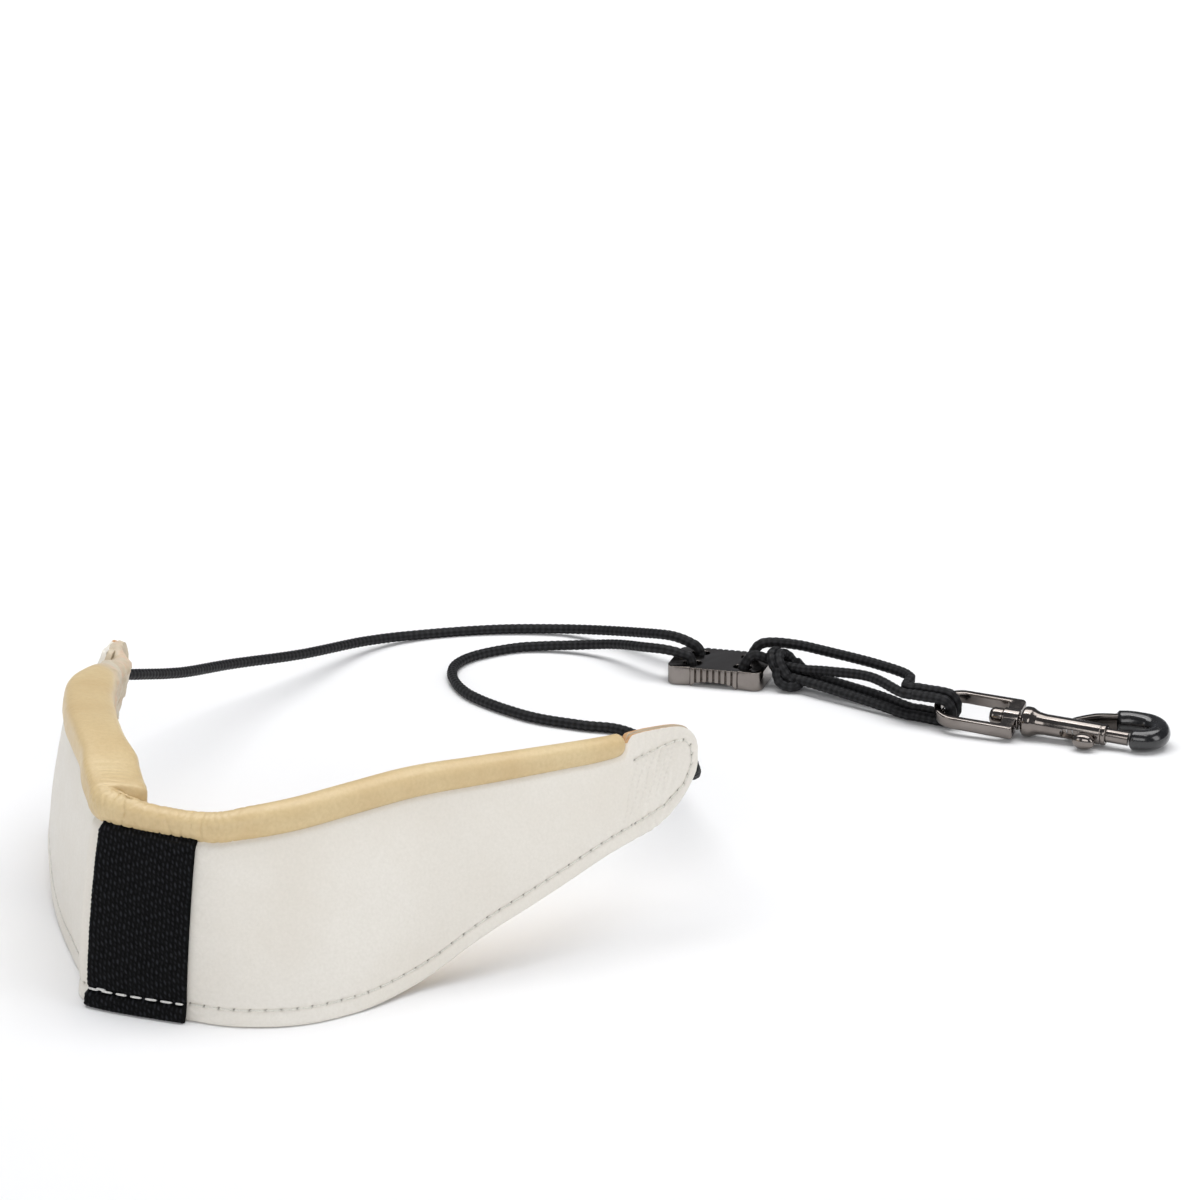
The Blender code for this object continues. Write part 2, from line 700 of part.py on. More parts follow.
def arm_path(with_root):
    """Centre line of the hook's arm in the hook frame, from the barrel round to the nose."""
    path = []
    if with_root:
        root = smooth_path(((ARM_ROOT_X, 2.3, 0.0), (ARM_ROOT_X + 2.0, 5.0, 0.0),
                            (ARM_ROOT_X + 6.5, 8.6, 0.0), (ARM_ROOT_X + 12.0, 10.4, 0.0)), 3)
        path += root
    radius = ARM_REACH / 2
    for k in range(13):
        angle = pi / 2 - pi * k / 12
        path.append(Vector((ARM_CENTRE_X + radius * cos(angle), radius + radius * sin(angle), 0.0)))
    return path


def add_hook_cover(mat):
    """Dipped vinyl sleeve over the hook's bend: open at the back end, closed at the nose."""
    frame = hook_frame()
    core = [Vector((ARM_CENTRE_X - 5.6, ARM_REACH - 0.15, 0.0))] + arm_path(False)
    outer_path = [frame @ p for p in core] + [frame @ Vector((NOSE_X, 0.0, 0.0))]
    inner_path = [frame @ p for p in core] + [frame @ Vector((NOSE_X + 0.7, 0.0, 0.0))]
    outer = tube_rings(outer_path, COVER_OUTER, 12)
    inner = tube_rings(inner_path, COVER_INNER, 12)
    bm = bmesh.new()
    outer_rows = add_rings(bm, outer, False)
    inner_rows = add_rings(bm, inner, False)
    bm.faces.new(outer_rows[-1])
    bm.faces.new(inner_rows[-1])
    for k in range(12):
        nxt = (k + 1) % 12
        bm.faces.new((outer_rows[0][k], outer_rows[0][nxt], inner_rows[0][nxt], inner_rows[0][k]))
    add_object("hook_cover", bm, mat, HOOK_START)


def add_trigger(bolt_mat, stud_mat, spring_mat):
    """Spring bolt, its thumb stud and the spring behind it."""
    frame = hook_frame()
    bm = bmesh.new()
    profile = ((BOLT_BACK, 0.0), (BOLT_BACK, BOLT_RADIUS), (BOLT_FRONT - 0.4, BOLT_RADIUS),
               (BOLT_FRONT, BOLT_RADIUS - 0.4), (BOLT_FRONT, 0.0))
    add_turned(bm, profile, frame, 16)
    add_object("trigger_bolt", bm, bolt_mat, HOOK_START)
    stud = bmesh.new()
    tilted = frame @ Matrix.Rotation(radians(STUD_TILT), 4, "X")
    side = tilted @ Matrix.Translation((STUD_X, 0.0, 0.0)) @ Matrix.Rotation(-pi / 2, 4, "Z")
    profile = ((2.3, 0.0), (2.3, 0.95), (3.4, 0.95), (3.5, 2.2), (4.2, 3.1), (5.6, 3.0), (6.8, 1.8),
               (7.1, 0.0))
    add_turned(stud, profile, side, 16)
    flatten_about(stud, side, STUD_OVAL)
    add_object("thumb_stud", stud, stud_mat, HOOK_START)
    add_spring(frame, spring_mat)


def flatten_about(bm, side, keep):
    """Make the round head oval: thinner across the hook's plane."""
    back = side.inverted()
    for vert in bm.verts:
        local = back @ vert.co
        local.z *= keep
        vert.co = side @ local


def add_spring(frame, mat):
    turns = 6
    steps = 10
    start = 5.6
    length = BOLT_BACK - start - 0.6
    path = []
    for k in range(turns * steps + 1):
        angle = 2 * pi * k / steps
        x = start + length * k / (turns * steps)
        path.append(frame @ Vector((x, 1.55 * cos(angle), 1.55 * sin(angle))))
    bm = bmesh.new()
    add_rings(bm, tube_rings(path, 0.22, 5))
    add_object("trigger_spring", bm, mat, HOOK_START)


# ---------------------------------------------------------------- assembly

RIGHT = PadHalf(RIGHT_STATIONS, RIGHT_TIP, 1)
LEFT = PadHalf(LEFT_STATIONS, LEFT_TIP, -1)
ORIGIN = RIGHT.place(LABEL_MIDDLE, 0.0, -GAP - LABEL_THICK / 2)
FOLD_PIVOT = (-10.5, 9.2, 0.0)


def build():
    clear_scene()
    material("cutter", (0.5, 0.5, 0.5), 0.5)
    white = material("white_leather", (0.78, 0.75, 0.69), 0.5)
    tan_skin = material("tan_lambskin", (0.62, 0.47, 0.26), 0.45)
    foam = material("grey_foam", (0.35, 0.35, 0.34), 0.9)
    webbing = material("black_webbing", (0.02, 0.02, 0.025), 0.85)
    cord = material("black_cord", (0.02, 0.02, 0.022), 0.8)
    gunmetal = material("gunmetal", (0.30, 0.27, 0.25), 0.22, 1.0)
    vinyl = material("black_vinyl", (0.012, 0.012, 0.013), 0.25)
    steel = material("spring_steel", (0.55, 0.55, 0.55), 0.3, 1.0)

    origin_pivot = tuple(ORIGIN)
    for side, half, first, pivot in (("right", RIGHT, 1.0, origin_pivot), ("left", LEFT, 1.4, FOLD_PIVOT)):
        add_outer_leather(f"outer_leather_{side}", half, first, white, pivot)
        add_pad_piece(f"foam_pad_{side}", half, foam_profile, first, foam, pivot)
        add_pad_piece(f"lining_{side}", half, lining_profile, first, tan_skin, pivot)
        add_tip_backing(f"tip_backing_{side}", half, white, pivot)
    add_label(RIGHT, webbing)

    add_cord_runs(cord)
    add_plate(gunmetal)
    add_weave("right_cord_weave", -1, cord)
    add_weave("left_cord_weave", 1, cord)
    add_drop(cord)

    add_bail(gunmetal)
    add_rivet(gunmetal)
    add_hook_body(gunmetal)
    add_hook_cover(vinyl)
    add_trigger(gunmetal, gunmetal, steel)


build()
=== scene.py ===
"""Looks of the saxophone neck strap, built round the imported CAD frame.

Shapes are worked out in millimetres of the frame, and add_mesh() turns them into metres.  The pad
and the long cords follow the same drawn stations as the CAD; the plate, drop and hook take their
places and directions from the frame's joints.
"""

import json
from math import cos, pi, radians, sin

import bmesh
import bpy
import numpy as np
from mathutils import Matrix, Vector, noise


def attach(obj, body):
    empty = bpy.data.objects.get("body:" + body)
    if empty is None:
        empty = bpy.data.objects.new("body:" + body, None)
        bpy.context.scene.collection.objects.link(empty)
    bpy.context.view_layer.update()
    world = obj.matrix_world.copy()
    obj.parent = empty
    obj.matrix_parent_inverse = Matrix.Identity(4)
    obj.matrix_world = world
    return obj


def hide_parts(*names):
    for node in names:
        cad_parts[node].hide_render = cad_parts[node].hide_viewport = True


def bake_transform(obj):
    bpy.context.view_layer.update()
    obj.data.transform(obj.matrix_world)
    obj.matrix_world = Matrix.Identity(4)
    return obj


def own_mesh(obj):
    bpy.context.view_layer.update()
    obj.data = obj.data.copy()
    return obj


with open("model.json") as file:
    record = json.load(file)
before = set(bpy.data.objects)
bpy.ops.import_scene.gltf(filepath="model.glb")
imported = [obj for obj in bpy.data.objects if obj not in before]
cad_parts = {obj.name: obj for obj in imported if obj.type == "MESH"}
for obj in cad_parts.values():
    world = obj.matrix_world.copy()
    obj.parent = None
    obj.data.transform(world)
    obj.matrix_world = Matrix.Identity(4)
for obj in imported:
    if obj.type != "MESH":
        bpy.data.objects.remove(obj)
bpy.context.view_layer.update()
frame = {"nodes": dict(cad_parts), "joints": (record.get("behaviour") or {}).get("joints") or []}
joints = {joint["name"]: joint for joint in frame["joints"]}

MM = 0.001

# ---------------------------------------------------------------- the CAD's drawn dimensions

FOLD_PIVOT = Vector((-10.5, 9.2, 20.0))
ORIGIN = FOLD_PIVOT - Vector(joints["pad_fold"]["pos_m"]) / MM

# Pad: each station is the foot of the outer leather, then the top of its visible face.
CREASE = ((-12.5, 4.4, 0.0), (-8.8, 13.6, 40.6))
RIGHT_STATIONS = (
    ((11.2, -5.9, 0.0), (13.6, 5.9, 39.0)),
    ((23.5, -9.6, 0.0), (24.6, 5.3, 40.0)),
    ((37.0, -8.5, 0.0), (36.0, 8.7, 41.0)),
    ((49.3, -1.5, 0.0), (48.9, 16.8, 42.0)),
    ((62.3, 10.5, 2.0), (61.9, 25.8, 42.5)),
    ((75.6, 20.0, 8.6), (75.4, 33.0, 42.5)),
    ((89.0, 30.0, 13.8), (89.0, 41.0, 42.2)),
    ((102.9, 42.0, 19.0), (102.9, 50.7, 41.5)),
    ((109.0, 48.5, 20.5), (109.3, 56.5, 41.5)),
)
RIGHT_TIP = (
    ((117.0, 56.5, 22.5), (117.2, 63.8, 44.6)),
    ((122.6, 60.8, 27.5), (122.6, 65.8, 44.3)),
    ((126.3, 64.2, 33.5), (126.3, 66.4, 41.8)),
)
LEFT_STATIONS = (
    ((-15.8, 16.7, 0.0), (-10.8, 22.2, 41.4)),
    ((-20.0, 29.8, 0.0), (-14.0, 33.3, 43.7)),
    ((-24.5, 43.6, 0.0), (-18.5, 46.0, 45.1)),
    ((-29.3, 60.4, 2.0), (-23.0, 62.0, 44.8)),
    ((-32.8, 77.5, 8.6), (-26.4, 79.0, 44.3)),
    ((-34.4, 94.5, 13.8), (-27.8, 96.0, 43.6)),
    ((-35.0, 113.0, 19.0), (-27.6, 114.0, 42.1)),
    ((-32.4, 121.5, 20.5), (-25.4, 121.5, 42.0)),
)
LEFT_TIP = (
    ((-28.9, 131.0, 24.5), (-23.9, 128.2, 44.4)),
    ((-26.0, 135.3, 29.5), (-22.6, 133.3, 44.6)),
    ((-23.6, 138.5, 33.0), (-21.9, 137.4, 41.0)),
)
RIGHT_END = len(RIGHT_STATIONS)      # places along the yoke: 0 at the fold, right positive
LEFT_END = len(LEFT_STATIONS)
TIP_STATIONS = len(RIGHT_TIP)
FOLD_INDEX = TIP_STATIONS + LEFT_END
HALVES = ((1, RIGHT_END), (-1, LEFT_END))
TIP_RISE = 3.2
LEATHER = 1.2                # thickness of each skin
SEAM_HEIGHT = 4.0            # stitched flange along the lower edge
FLANGE_TOP = 3.4             # where the padding starts to swell on the inner side
FLANGE_DEPTH = 2.65
SWELL = 2.6                  # crown of the inner face
FOLD_REACH = 6.0             # the skins bend within this distance of the fold
ROLL_RADIUS = 4.2            # rolled top edge of the cushion
ROLL_RISE = 2.6
ROLL_INSET = 2.4
ROLL_ANGLES = np.radians(np.linspace(-152.0, 90.0, 56))      # round the roll, outer side first
CORNER_LEFT = ((1.9, 17.4), (-4.4, 38.4))    # the filled inner corner runs along these two lines in plan
CORNER_RIGHT = ((1.9, 17.4), (16.0, 14.0))
CREASE_LINE = ((-5.5, 19.5), (-3.5, 19.5), (-2.6, 16.5))     # pinch in the top of the corner, in plan
CORNER_ARC = -1.0            # where the corner is along the yoke

OUTER_STEP = 0.42            # distance between the columns of each skin
CUSHION_STEP = 0.36
BACKING_STEP = 0.45
LABEL_STEP = 0.17

LABEL_FROM, LABEL_TO = 0.03, 0.99    # places along the yoke
YARN = 1.05                  # distance from yarn to yarn of the label
DASH_PITCH = 3.75            # white stitches across the label
DASH_LENGTH = 3.0
DASH_RADIUS = 0.27
SEAM_STITCH = 3.5            # from needle hole to needle hole
TIP_STITCH = 2.4
ROW_STITCH = 1.3
SEAM_THREAD_RADIUS = 0.21
LONGEST_STITCH = 6.0

CORD_RADIUS = 1.5
CORD_VISIBLE = 1.42          # mean radius of the braid
BRAID_DEPTH = 0.11
BRAID_AROUND = 4             # crossings round the cord, each way
BRAID_PITCH = 1.9            # length of one crossing pair
CORD_SIDES = 32
CORD_STEP = 0.24
LOOP_SPREAD = 1.7
LOOP_RISE = 3.55
LOOP_HEADING = -31.0

PLATE_LONG = 28.5
PLATE_BEVEL = 0.32
PLATE_CORNER = radians(32.0)         # edges that turn more than this are rounded
HOLE_X = 7.5
HOLE_Y = 4.8
BAIL_BACK = 24.4
BAIL_HALF = 6.5
BAIL_THICK = 2.0
BAIL_HIGH = 3.6
BAIL_SOFT = 0.55             # radius of the stirrup's edges
BAIL_CORNER = 0.9
BASE_FRONT = -1.1
BASE_BACK = -5.1
BOSS_PROUD = 0.35
BOSS_RADIUS = 2.9
HOOK_ROLL = 7.0              # degrees
BAIL_ROLL = 16.0
STUD_TILT = 7.0
STUD_X = 18.6
SLOT_RADIUS = 1.35
ARM_REACH = 10.8
ARM_CENTRE_X = 31.6
COVER_RADIUS = 2.9
NOSE_X = 30.6
BOLT_RADIUS = 1.95
BOLT_BACK = 16.0
BOLT_FRONT = 30.1
TRIGGER_TRAVEL = 6.0         # how far the bolt can be pulled back
SPRING_BACK = 5.6
SPRING_LONG = BOLT_BACK - 0.6 - SPRING_BACK
SPRING_TURNS = 6
COIL_RADIUS = 1.55
WIRE_RADIUS = 0.22

# Studio, in metres and watts.
CAMERA_PLACE = (0.10265, -0.6748, 0.3031)
CAMERA_TILT = 73.0
CAMERA_LENS = 98.7
FLOOR_REACH = 6.0
FLOOR_LEVEL = -0.00005
STRAP_CENTRE = (0.09, 0.11, 0.0)
HOOK_PLACE = (0.2, 0.18, 0.0)
LIGHTS = (                   # name, place, target, size and power
    ("overhead_softbox", (0.16, 0.5, 1.35), STRAP_CENTRE, (2.0, 0.8), 17.6),
    ("front_softbox", (-0.1, -1.7, 0.95), STRAP_CENTRE, (1.6, 0.9), 11.5),
    ("right_softbox", (1.4, -0.5, 0.6), STRAP_CENTRE, (0.5, 0.9), 4.0),
    ("left_softbox", (-1.3, -0.6, 0.6), STRAP_CENTRE, (0.6, 0.9), 3.0),
    ("strip_light", (0.15, 0.1, 1.1), HOOK_PLACE, (1.1, 0.09), 2.2),
)
SKY_COLOUR = (0.9, 0.93, 1.0, 1.0)
SKY_STRENGTH = 0.16


# ---------------------------------------------------------------- places, curves and noise

def drawn(point):
    """A drawing point in millimetres of the frame."""
    return Vector(point) - ORIGIN


def aim(origin, axis, roll=0.0):
    """Matrix whose X runs along an axis, with Y level before the roll."""
    x = Vector(axis).normalized()
    y = Vector((0.0, 0.0, 1.0)).cross(x).normalized()
    turn = Matrix((x, y, x.cross(y))).transposed().to_4x4()
    return Matrix.Translation(origin) @ turn @ Matrix.Rotation(radians(roll), 4, "X")


def joint_place(name):
    return Vector(joints[name]["pos_m"]) / MM


def at(place, *points):
    """Points of a matrix's own frame, moved to the shared one."""
    return [place @ Vector(p) for p in points]


def placed(place, rings):
    """The same for an array of points."""
    return np.array(at(place, *rings.reshape(-1, 3))).reshape(rings.shape)


def smoothstep(x):
    x = np.clip(x, 0.0, 1.0)
    return x * x * (3.0 - 2.0 * x)


def hump(x, centre, width):
    """Bell curve of height 1."""
    return np.exp(-((x - centre) / width) ** 2)


def rounding(x):
    """How far a quarter circle of radius 1 has drawn in at x, from 0 where it starts to 1 at its end."""
    x = np.clip(x, 0.0, 1.0)
    return 1.0 - np.sqrt(1.0 - x * x)


def signed_power(value, power):
    return np.sign(value) * np.abs(value) ** power


def circle(sides):
    """Angles of evenly spaced points round a circle."""
    return 2 * pi * np.arange(sides) / sides


def arc_points(x, y, radius, start, end, steps):
    """Points round an arc, both ends included."""
    angles = [start + (end - start) * k / steps for k in range(steps + 1)]
    return [(x + radius * cos(a), y + radius * sin(a)) for a in angles]


def bow(start, middle, end, t):
    """Point of the curve that leaves start and reaches end pointing at the middle."""
    return start * (1 - t) ** 2 + middle * 2 * t * (1 - t) + end * t ** 2


def curve_at(points, u):
    """Smooth curve through the points at place u, straight beyond its ends."""
    last = len(points) - 1
    if u <= 0.0:
        return points[0] + (points[1] - points[0]) * u
    if u >= last:
        return points[last] + (points[last] - points[last - 1]) * (u - last)
    k = int(u)
    t = u - k
    b, c = points[k], points[k + 1]
    a = points[k - 1] if k > 0 else b * 2 - c
    d = points[k + 2] if k + 2 <= last else c * 2 - b
    return 0.5 * ((2 * b) + (c - a) * t + (2 * a - 5 * b + 4 * c - d) * t ** 2
                  + (3 * b - a - 3 * c + d) * t ** 3)


def lengths(path):
    """Distance along a polyline at each of its points."""
    steps = np.linalg.norm(np.diff(path, axis=0), axis=1)
    return np.concatenate(([0.0], np.cumsum(steps)))


def resample(path, spacing):
    """Points at even distances along a polyline."""
    path = np.array(path, float)
    length = lengths(path)
    count = max(2, int(round(length[-1] / spacing)) + 1)
    wanted = np.linspace(0.0, length[-1], count)
    return np.stack([np.interp(wanted, length, path[:, k]) for k in range(3)], axis=1)


def smooth_path(points, spacing):
    """Even points along the smooth curve through a few knots."""
    knots = [Vector(p) for p in points]
    fine = [curve_at(knots, k / 24) for k in range(24 * (len(knots) - 1) + 1)]
    return resample(fine, spacing)


def smoothed(rows, share, rounds):
    """Draw each row towards the middle of its neighbours by a share of the way, so many times."""
    for _ in range(rounds):
        middle = rows.copy()
        middle[1:-1] = (rows[:-2] + rows[2:]) / 2
        rows = rows + (middle - rows) * share
    return rows


def eased(path, first, last):
    """Smooth a path between two of its points."""
    share = np.zeros((len(path), 1))
    share[first:last] = 0.9
    return smoothed(path, share, 600)


def nearest(path, point):
    return int(np.argmin(np.linalg.norm(path - np.array(point), axis=1)))


def grain(points, size, seed):
    """Smooth noise between about -1 and 1, with bumps of a size in millimetres."""
    flat = points.reshape(-1, 3) / size + seed * 7.31
    return np.array([noise.noise(Vector(p)) for p in flat]).reshape(points.shape[:-1])


def crumples(points, seed):
    """Sharp little folds in soft skin, between -1 and 1."""
    broad = 1.0 - 2.0 * np.abs(grain(points, 5.5, seed)) ** 0.7
    fine = 1.0 - 2.0 * np.abs(grain(points, 2.3, seed + 1)) ** 0.7
    return 0.6 * broad + 0.4 * fine


# ---------------------------------------------------------------- meshes

def ring_faces(count, sides, first=0):
    """Quads between successive closed rings."""
    faces = []
    for low in range(first, first + (count - 1) * sides, sides):
        for j in range(sides):
            k = (j + 1) % sides
            faces.append((low + j, low + k, low + sides + k, low + sides + j))
    return faces


def tube_faces(count, sides, first=0):
    """The same, with a face over each end."""
    last = first + (count - 1) * sides
    ends = [tuple(range(start, start + sides)) for start in (first, last)]
    return ring_faces(count, sides, first) + ends


def tube_rings(path, radius, sides):
    """Rings round a path, without twist; radius has a row for each point."""
    along = np.gradient(path, axis=0)
    along /= np.linalg.norm(along, axis=1)[:, None]
    side = np.array(Vector(along[0]).orthogonal().normalized())
    across = []
    for direction in along:
        side = side - direction * (side @ direction)
        side /= np.linalg.norm(side)
        across.append(side)
    across = np.array(across)
    up = np.cross(along, across)
    angle = circle(sides)[None, :, None]
    spokes = across[:, None, :] * np.cos(angle) + up[:, None, :] * np.sin(angle)
    radius = np.broadcast_to(radius, (len(path), sides))
    return path[:, None, :] + spokes * radius[:, :, None]


def turned_rings(profile, sides):
    """Rings of (along, radius) points turned about X."""
    rings = []
    for x, radius in profile:
        radius = max(radius, 0.01)
        rings.append([(x, radius * cos(a), radius * sin(a)) for a in circle(sides)])
    return np.array(rings)


def rounded_profile(corners, radius, steps=5):
    """An open (along, radius) outline with its inner corners rounded."""
    corners = [Vector(corner) for corner in corners]
    outline = [corners[0]]
    for before, corner, after in zip(corners, corners[1:], corners[2:]):
        into, out = before - corner, after - corner
        cut = min(radius, into.length * 0.45, out.length * 0.45)
        start, end = corner + into.normalized() * cut, corner + out.normalized() * cut
        outline += [bow(start, corner, end, k / steps) for k in range(steps + 1)]
    return outline + [corners[-1]]


def place_in_scene(name, data):
    obj = bpy.data.objects.new(name, data)
    bpy.context.scene.collection.objects.link(obj)
    return obj


def shade(mesh, sharp):
    """Shade smooth, and keep edges sharp above an angle in degrees."""
    mesh.shade_smooth()
    mesh.set_sharp_from_angle(angle=radians(sharp))


def add_mesh(name, points, faces, materials, kinds=None, sharp=40.0, weld=True):
    """Make an object from points in millimetres; kinds are its faces' material numbers."""
    mesh = bpy.data.meshes.new(name)
    mesh.from_pydata((np.asarray(points, float) * MM).tolist(), [], faces)
    for mat in materials:
        mesh.materials.append(mat)
    if kinds is not None:
        mesh.polygons.foreach_set("material_index", kinds)
    mesh.update()
    bm = bmesh.new()
    bm.from_mesh(mesh)
    if weld:
        bmesh.ops.remove_doubles(bm, verts=bm.verts, dist=1e-7)
    bmesh.ops.recalc_face_normals(bm, faces=bm.faces)
    bm.to_mesh(mesh)
    bm.free()
    shade(mesh, sharp)
    return place_in_scene(name, mesh)


def add_solid(name, rings, mat, sharp=40.0):
    """Skin a stack of closed rings and cap its ends."""
    count, sides = rings.shape[:2]
    return add_mesh(name, rings.reshape(-1, 3), tube_faces(count, sides), [mat], sharp=sharp)


def add_skin(name, rings, materials, kinds=None, **values):
    """The same without welding, with named values for its points that the materials read."""
    count, sides = rings.shape[:2]
    obj = add_mesh(name, rings.reshape(-1, 3), tube_faces(count, sides), materials, kinds, 50.0, False)
    for key, value in values.items():
        layer = obj.data.attributes.new(key, "FLOAT", "POINT")
        layer.data.foreach_set("value", np.asarray(value, np.float32).ravel())
    return obj


def add_threads(name, tubes, mat):
    """One object from many short tubes, each a stack of rings."""
    faces = []
    first = 0
    for rings in tubes:
        count, sides = rings.shape[:2]
        faces += tube_faces(count, sides, first)
        first += count * sides
    return add_mesh(name, np.concatenate([rings.reshape(-1, 3) for rings in tubes]), faces, [mat])


def thread_rings(path, x, radius, squareness, least, sides):
    """A short thread that thins out towards both ends, where x is 0 and 1."""
    thin = np.sqrt(np.clip(1 - np.abs(2 * x - 1) ** squareness, least, 1))
    return tube_rings(path, radius * thin, sides)


def combine(obj, other, operation):
    """Boolean of two closed shapes, applied, so that the piece is one closed surface."""
    modifier = obj.modifiers.new("boolean", "BOOLEAN")
    modifier.operation = operation
    modifier.material_mode = "TRANSFER"
    modifier.solver = "EXACT"
    modifier.object = other
    graph = bpy.context.evaluated_depsgraph_get()
    graph.update()
    mesh = bpy.data.meshes.new_from_object(obj.evaluated_get(graph))
    obj.modifiers.clear()
    obj.data = mesh
    shade(mesh, 35.0)
    bpy.data.objects.remove(other)


def settle(obj, slot, *nodes, body=None):
    """Hide the CAD nodes that a piece stands for and attach it to the body that it rides on; slot is not
    used.
    """
    if nodes:
        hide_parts(*nodes)
    if body:
        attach(obj, body)
    return obj


def bend(obj, first, second, start, end):
    """Bake a piece's placement into its mesh; it is not bent, and first, second, start and end are not used.
    """
    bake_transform(obj)


# ---------------------------------------------------------------- materials

class Finish:
    """A Principled material whose textures are measured in millimetres of the frame."""

    def __init__(self, name, roughness=0.5, metallic=0.0, **inputs):
        self.mat = bpy.data.materials.new(name)
        self.mat.use_nodes = True
        self.nodes = self.mat.node_tree.nodes
        self.shader = self.nodes["Principled BSDF"]
        self.feed(self.shader, Roughness=roughness, Metallic=metallic, **inputs)
        coordinates = self.nodes.new("ShaderNodeTexCoord")
        scale = self.nodes.new("ShaderNodeVectorMath")
        scale.operation = "SCALE"
        self.feed(scale, Vector=coordinates.outputs["Object"], Scale=1.0 / MM)
        self.place = scale.outputs[0]
        self.relief = None

    def connect(self, socket, value):
        """Give a socket a value, or link it to the socket that feeds it."""
        if isinstance(value, bpy.types.NodeSocket):
            self.mat.node_tree.links.new(value, socket)
        elif value is not None:
            socket.default_value = value

    def feed(self, node, **inputs):
        for name, value in inputs.items():
            self.connect(node.inputs[name.replace("_", " ")], value)

    def node(self, kind, output, **inputs):
        node = self.nodes.new("ShaderNode" + kind)
        self.feed(node, **inputs)
        return node.outputs[output]

    def noise(self, size, detail, stretch=None):
        place = self.node("Mapping", "Vector", Scale=stretch, Vector=self.place) if stretch else self.place
        return self.node("TexNoise", "Fac", Scale=1.0 / size, Detail=detail, Vector=place)

    def cells(self, size):
        return self.node("TexVoronoi", "Distance", Scale=1.0 / size, Vector=self.place)

    def attribute(self, name):
        node = self.nodes.new("ShaderNodeAttribute")
        node.attribute_name = name
        return node.outputs["Fac"]

    def ramp(self, value, low, high, start=0.0, end=1.0):
        """Map a value from one range to another."""
        return self.node("MapRange", "Result", Value=value, From_Min=low, From_Max=high,
                         To_Min=start, To_Max=end)

    def mix(self, share, first, second):
        """Mix two colours; each is a colour or a socket."""
        node = self.nodes.new("ShaderNodeMix")
        node.data_type = "RGBA"
        self.feed(node, Factor=share)
        for socket, colour in zip(node.inputs[6:8], (first, second)):       # its two colour sockets
            self.connect(socket, (*colour, 1.0) if isinstance(colour, tuple) else colour)
        return node.outputs[2]

    def mottled(self, size, detail, low, high, first, second, share=1.0, stretch=None):
        """Mix two colours by noise: the first where it is below low, a share of the second above high."""
        return self.mix(self.ramp(self.noise(size, detail, stretch), low, high, 0.0, share), first, second)

    def colour(self, socket):
        self.feed(self.shader, Base_Color=socket)

    def rough(self, size, detail, low, high):
        """Vary the roughness with noise."""
        self.feed(self.shader, Roughness=self.ramp(self.noise(size, detail), 0.3, 0.7, low, high))

    def bump(self, height, depth, strength):
        """Add relief of a depth in millimetres on top of any before it."""
        self.relief = self.node("Bump", "Normal", Distance=depth * MM, Strength=strength, Height=height,
                                Normal=self.relief)
        self.feed(self.shader, Normal=self.relief)


def white_leather():
    """Smooth off-white top-grain leather with a fine pebble, and painted shade that darkens its needle holes
    and, faintly, its quilting rows.
    """
    finish = Finish("white_leather", 0.5)
    tone = finish.mottled(26.0, 3.0, 0.35, 0.65, (0.80, 0.755, 0.68), (0.84, 0.805, 0.74))
    tone = finish.mottled(0.7, 5.0, 0.3, 0.75, tone, (0.69, 0.655, 0.58), 0.35)
    # painted shade: where the hole value is high the colour goes to dark brown
    finish.colour(finish.mix(finish.attribute("hole"), tone, (0.10, 0.085, 0.065)))
    finish.rough(3.0, 4.0, 0.42, 0.58)
    finish.bump(finish.cells(0.55), 0.035, 0.5)
    finish.bump(finish.noise(1.6, 6.0), 0.10, 0.5)
    return finish.mat


def tan_lambskin():
    """Soft tan skin: finer grain, a low sheen and slow changes of tone, paler where it is worn."""
    finish = Finish("tan_lambskin", 0.42)
    tone = finish.mottled(18.0, 4.0, 0.35, 0.65, (0.64, 0.475, 0.25), (0.70, 0.55, 0.31))
    tone = finish.mottled(0.9, 6.0, 0.35, 0.8, tone, (0.50, 0.36, 0.17), 0.35)
    worn = finish.mottled(2.6, 5.0, 0.42, 0.62, (0.60, 0.50, 0.36), (0.70, 0.52, 0.38),
                          stretch=(1.0, 1.0, 0.35))
    worn = finish.mottled(5.0, 3.0, 0.4, 0.6, (0.66, 0.59, 0.47), worn)
    tone = finish.mix(finish.attribute("pale"), tone, worn)
    # painted shade: dark brown mixed in along the pinched corner crease
    finish.colour(finish.mix(finish.attribute("crease"), tone, (0.36, 0.24, 0.10)))
    finish.rough(2.2, 5.0, 0.36, 0.5)
    finish.bump(finish.cells(0.42), 0.025, 0.5)
    finish.bump(finish.noise(1.1, 6.0), 0.09, 0.45)
    return finish.mat


def pale_backing():
    """Undyed pale skin behind the tips, creased from handling."""
    finish = Finish("pale_backing", 0.6)
    tone = finish.mottled(7.0, 5.0, 0.35, 0.65, (0.58, 0.48, 0.34), (0.70, 0.62, 0.49))
    finish.colour(tone)
    finish.rough(2.0, 4.0, 0.5, 0.68)
    finish.bump(finish.cells(0.6), 0.04, 0.5)
    finish.bump(finish.noise(2.2, 6.0), 0.25, 0.5)
    return finish.mat


def raw_edge():
    """Cut edge of the leather: orange-brown fibres."""
    finish = Finish("raw_leather_edge", 0.7)
    finish.colour(finish.mottled(1.2, 5.0, 0.3, 0.7, (0.52, 0.27, 0.11), (0.68, 0.45, 0.25)))
    finish.bump(finish.noise(0.3, 5.0), 0.08, 0.6)
    return finish.mat


def thread(name, colour):
    """Twisted thread, darker between its fibres."""
    finish = Finish(name, 0.55)
    dark = tuple(c * 0.78 for c in colour)
    finish.colour(finish.mottled(0.35, 3.0, 0.3, 0.7, dark, colour))
    finish.bump(finish.noise(0.12, 3.0), 0.05, 0.6)
    return finish.mat


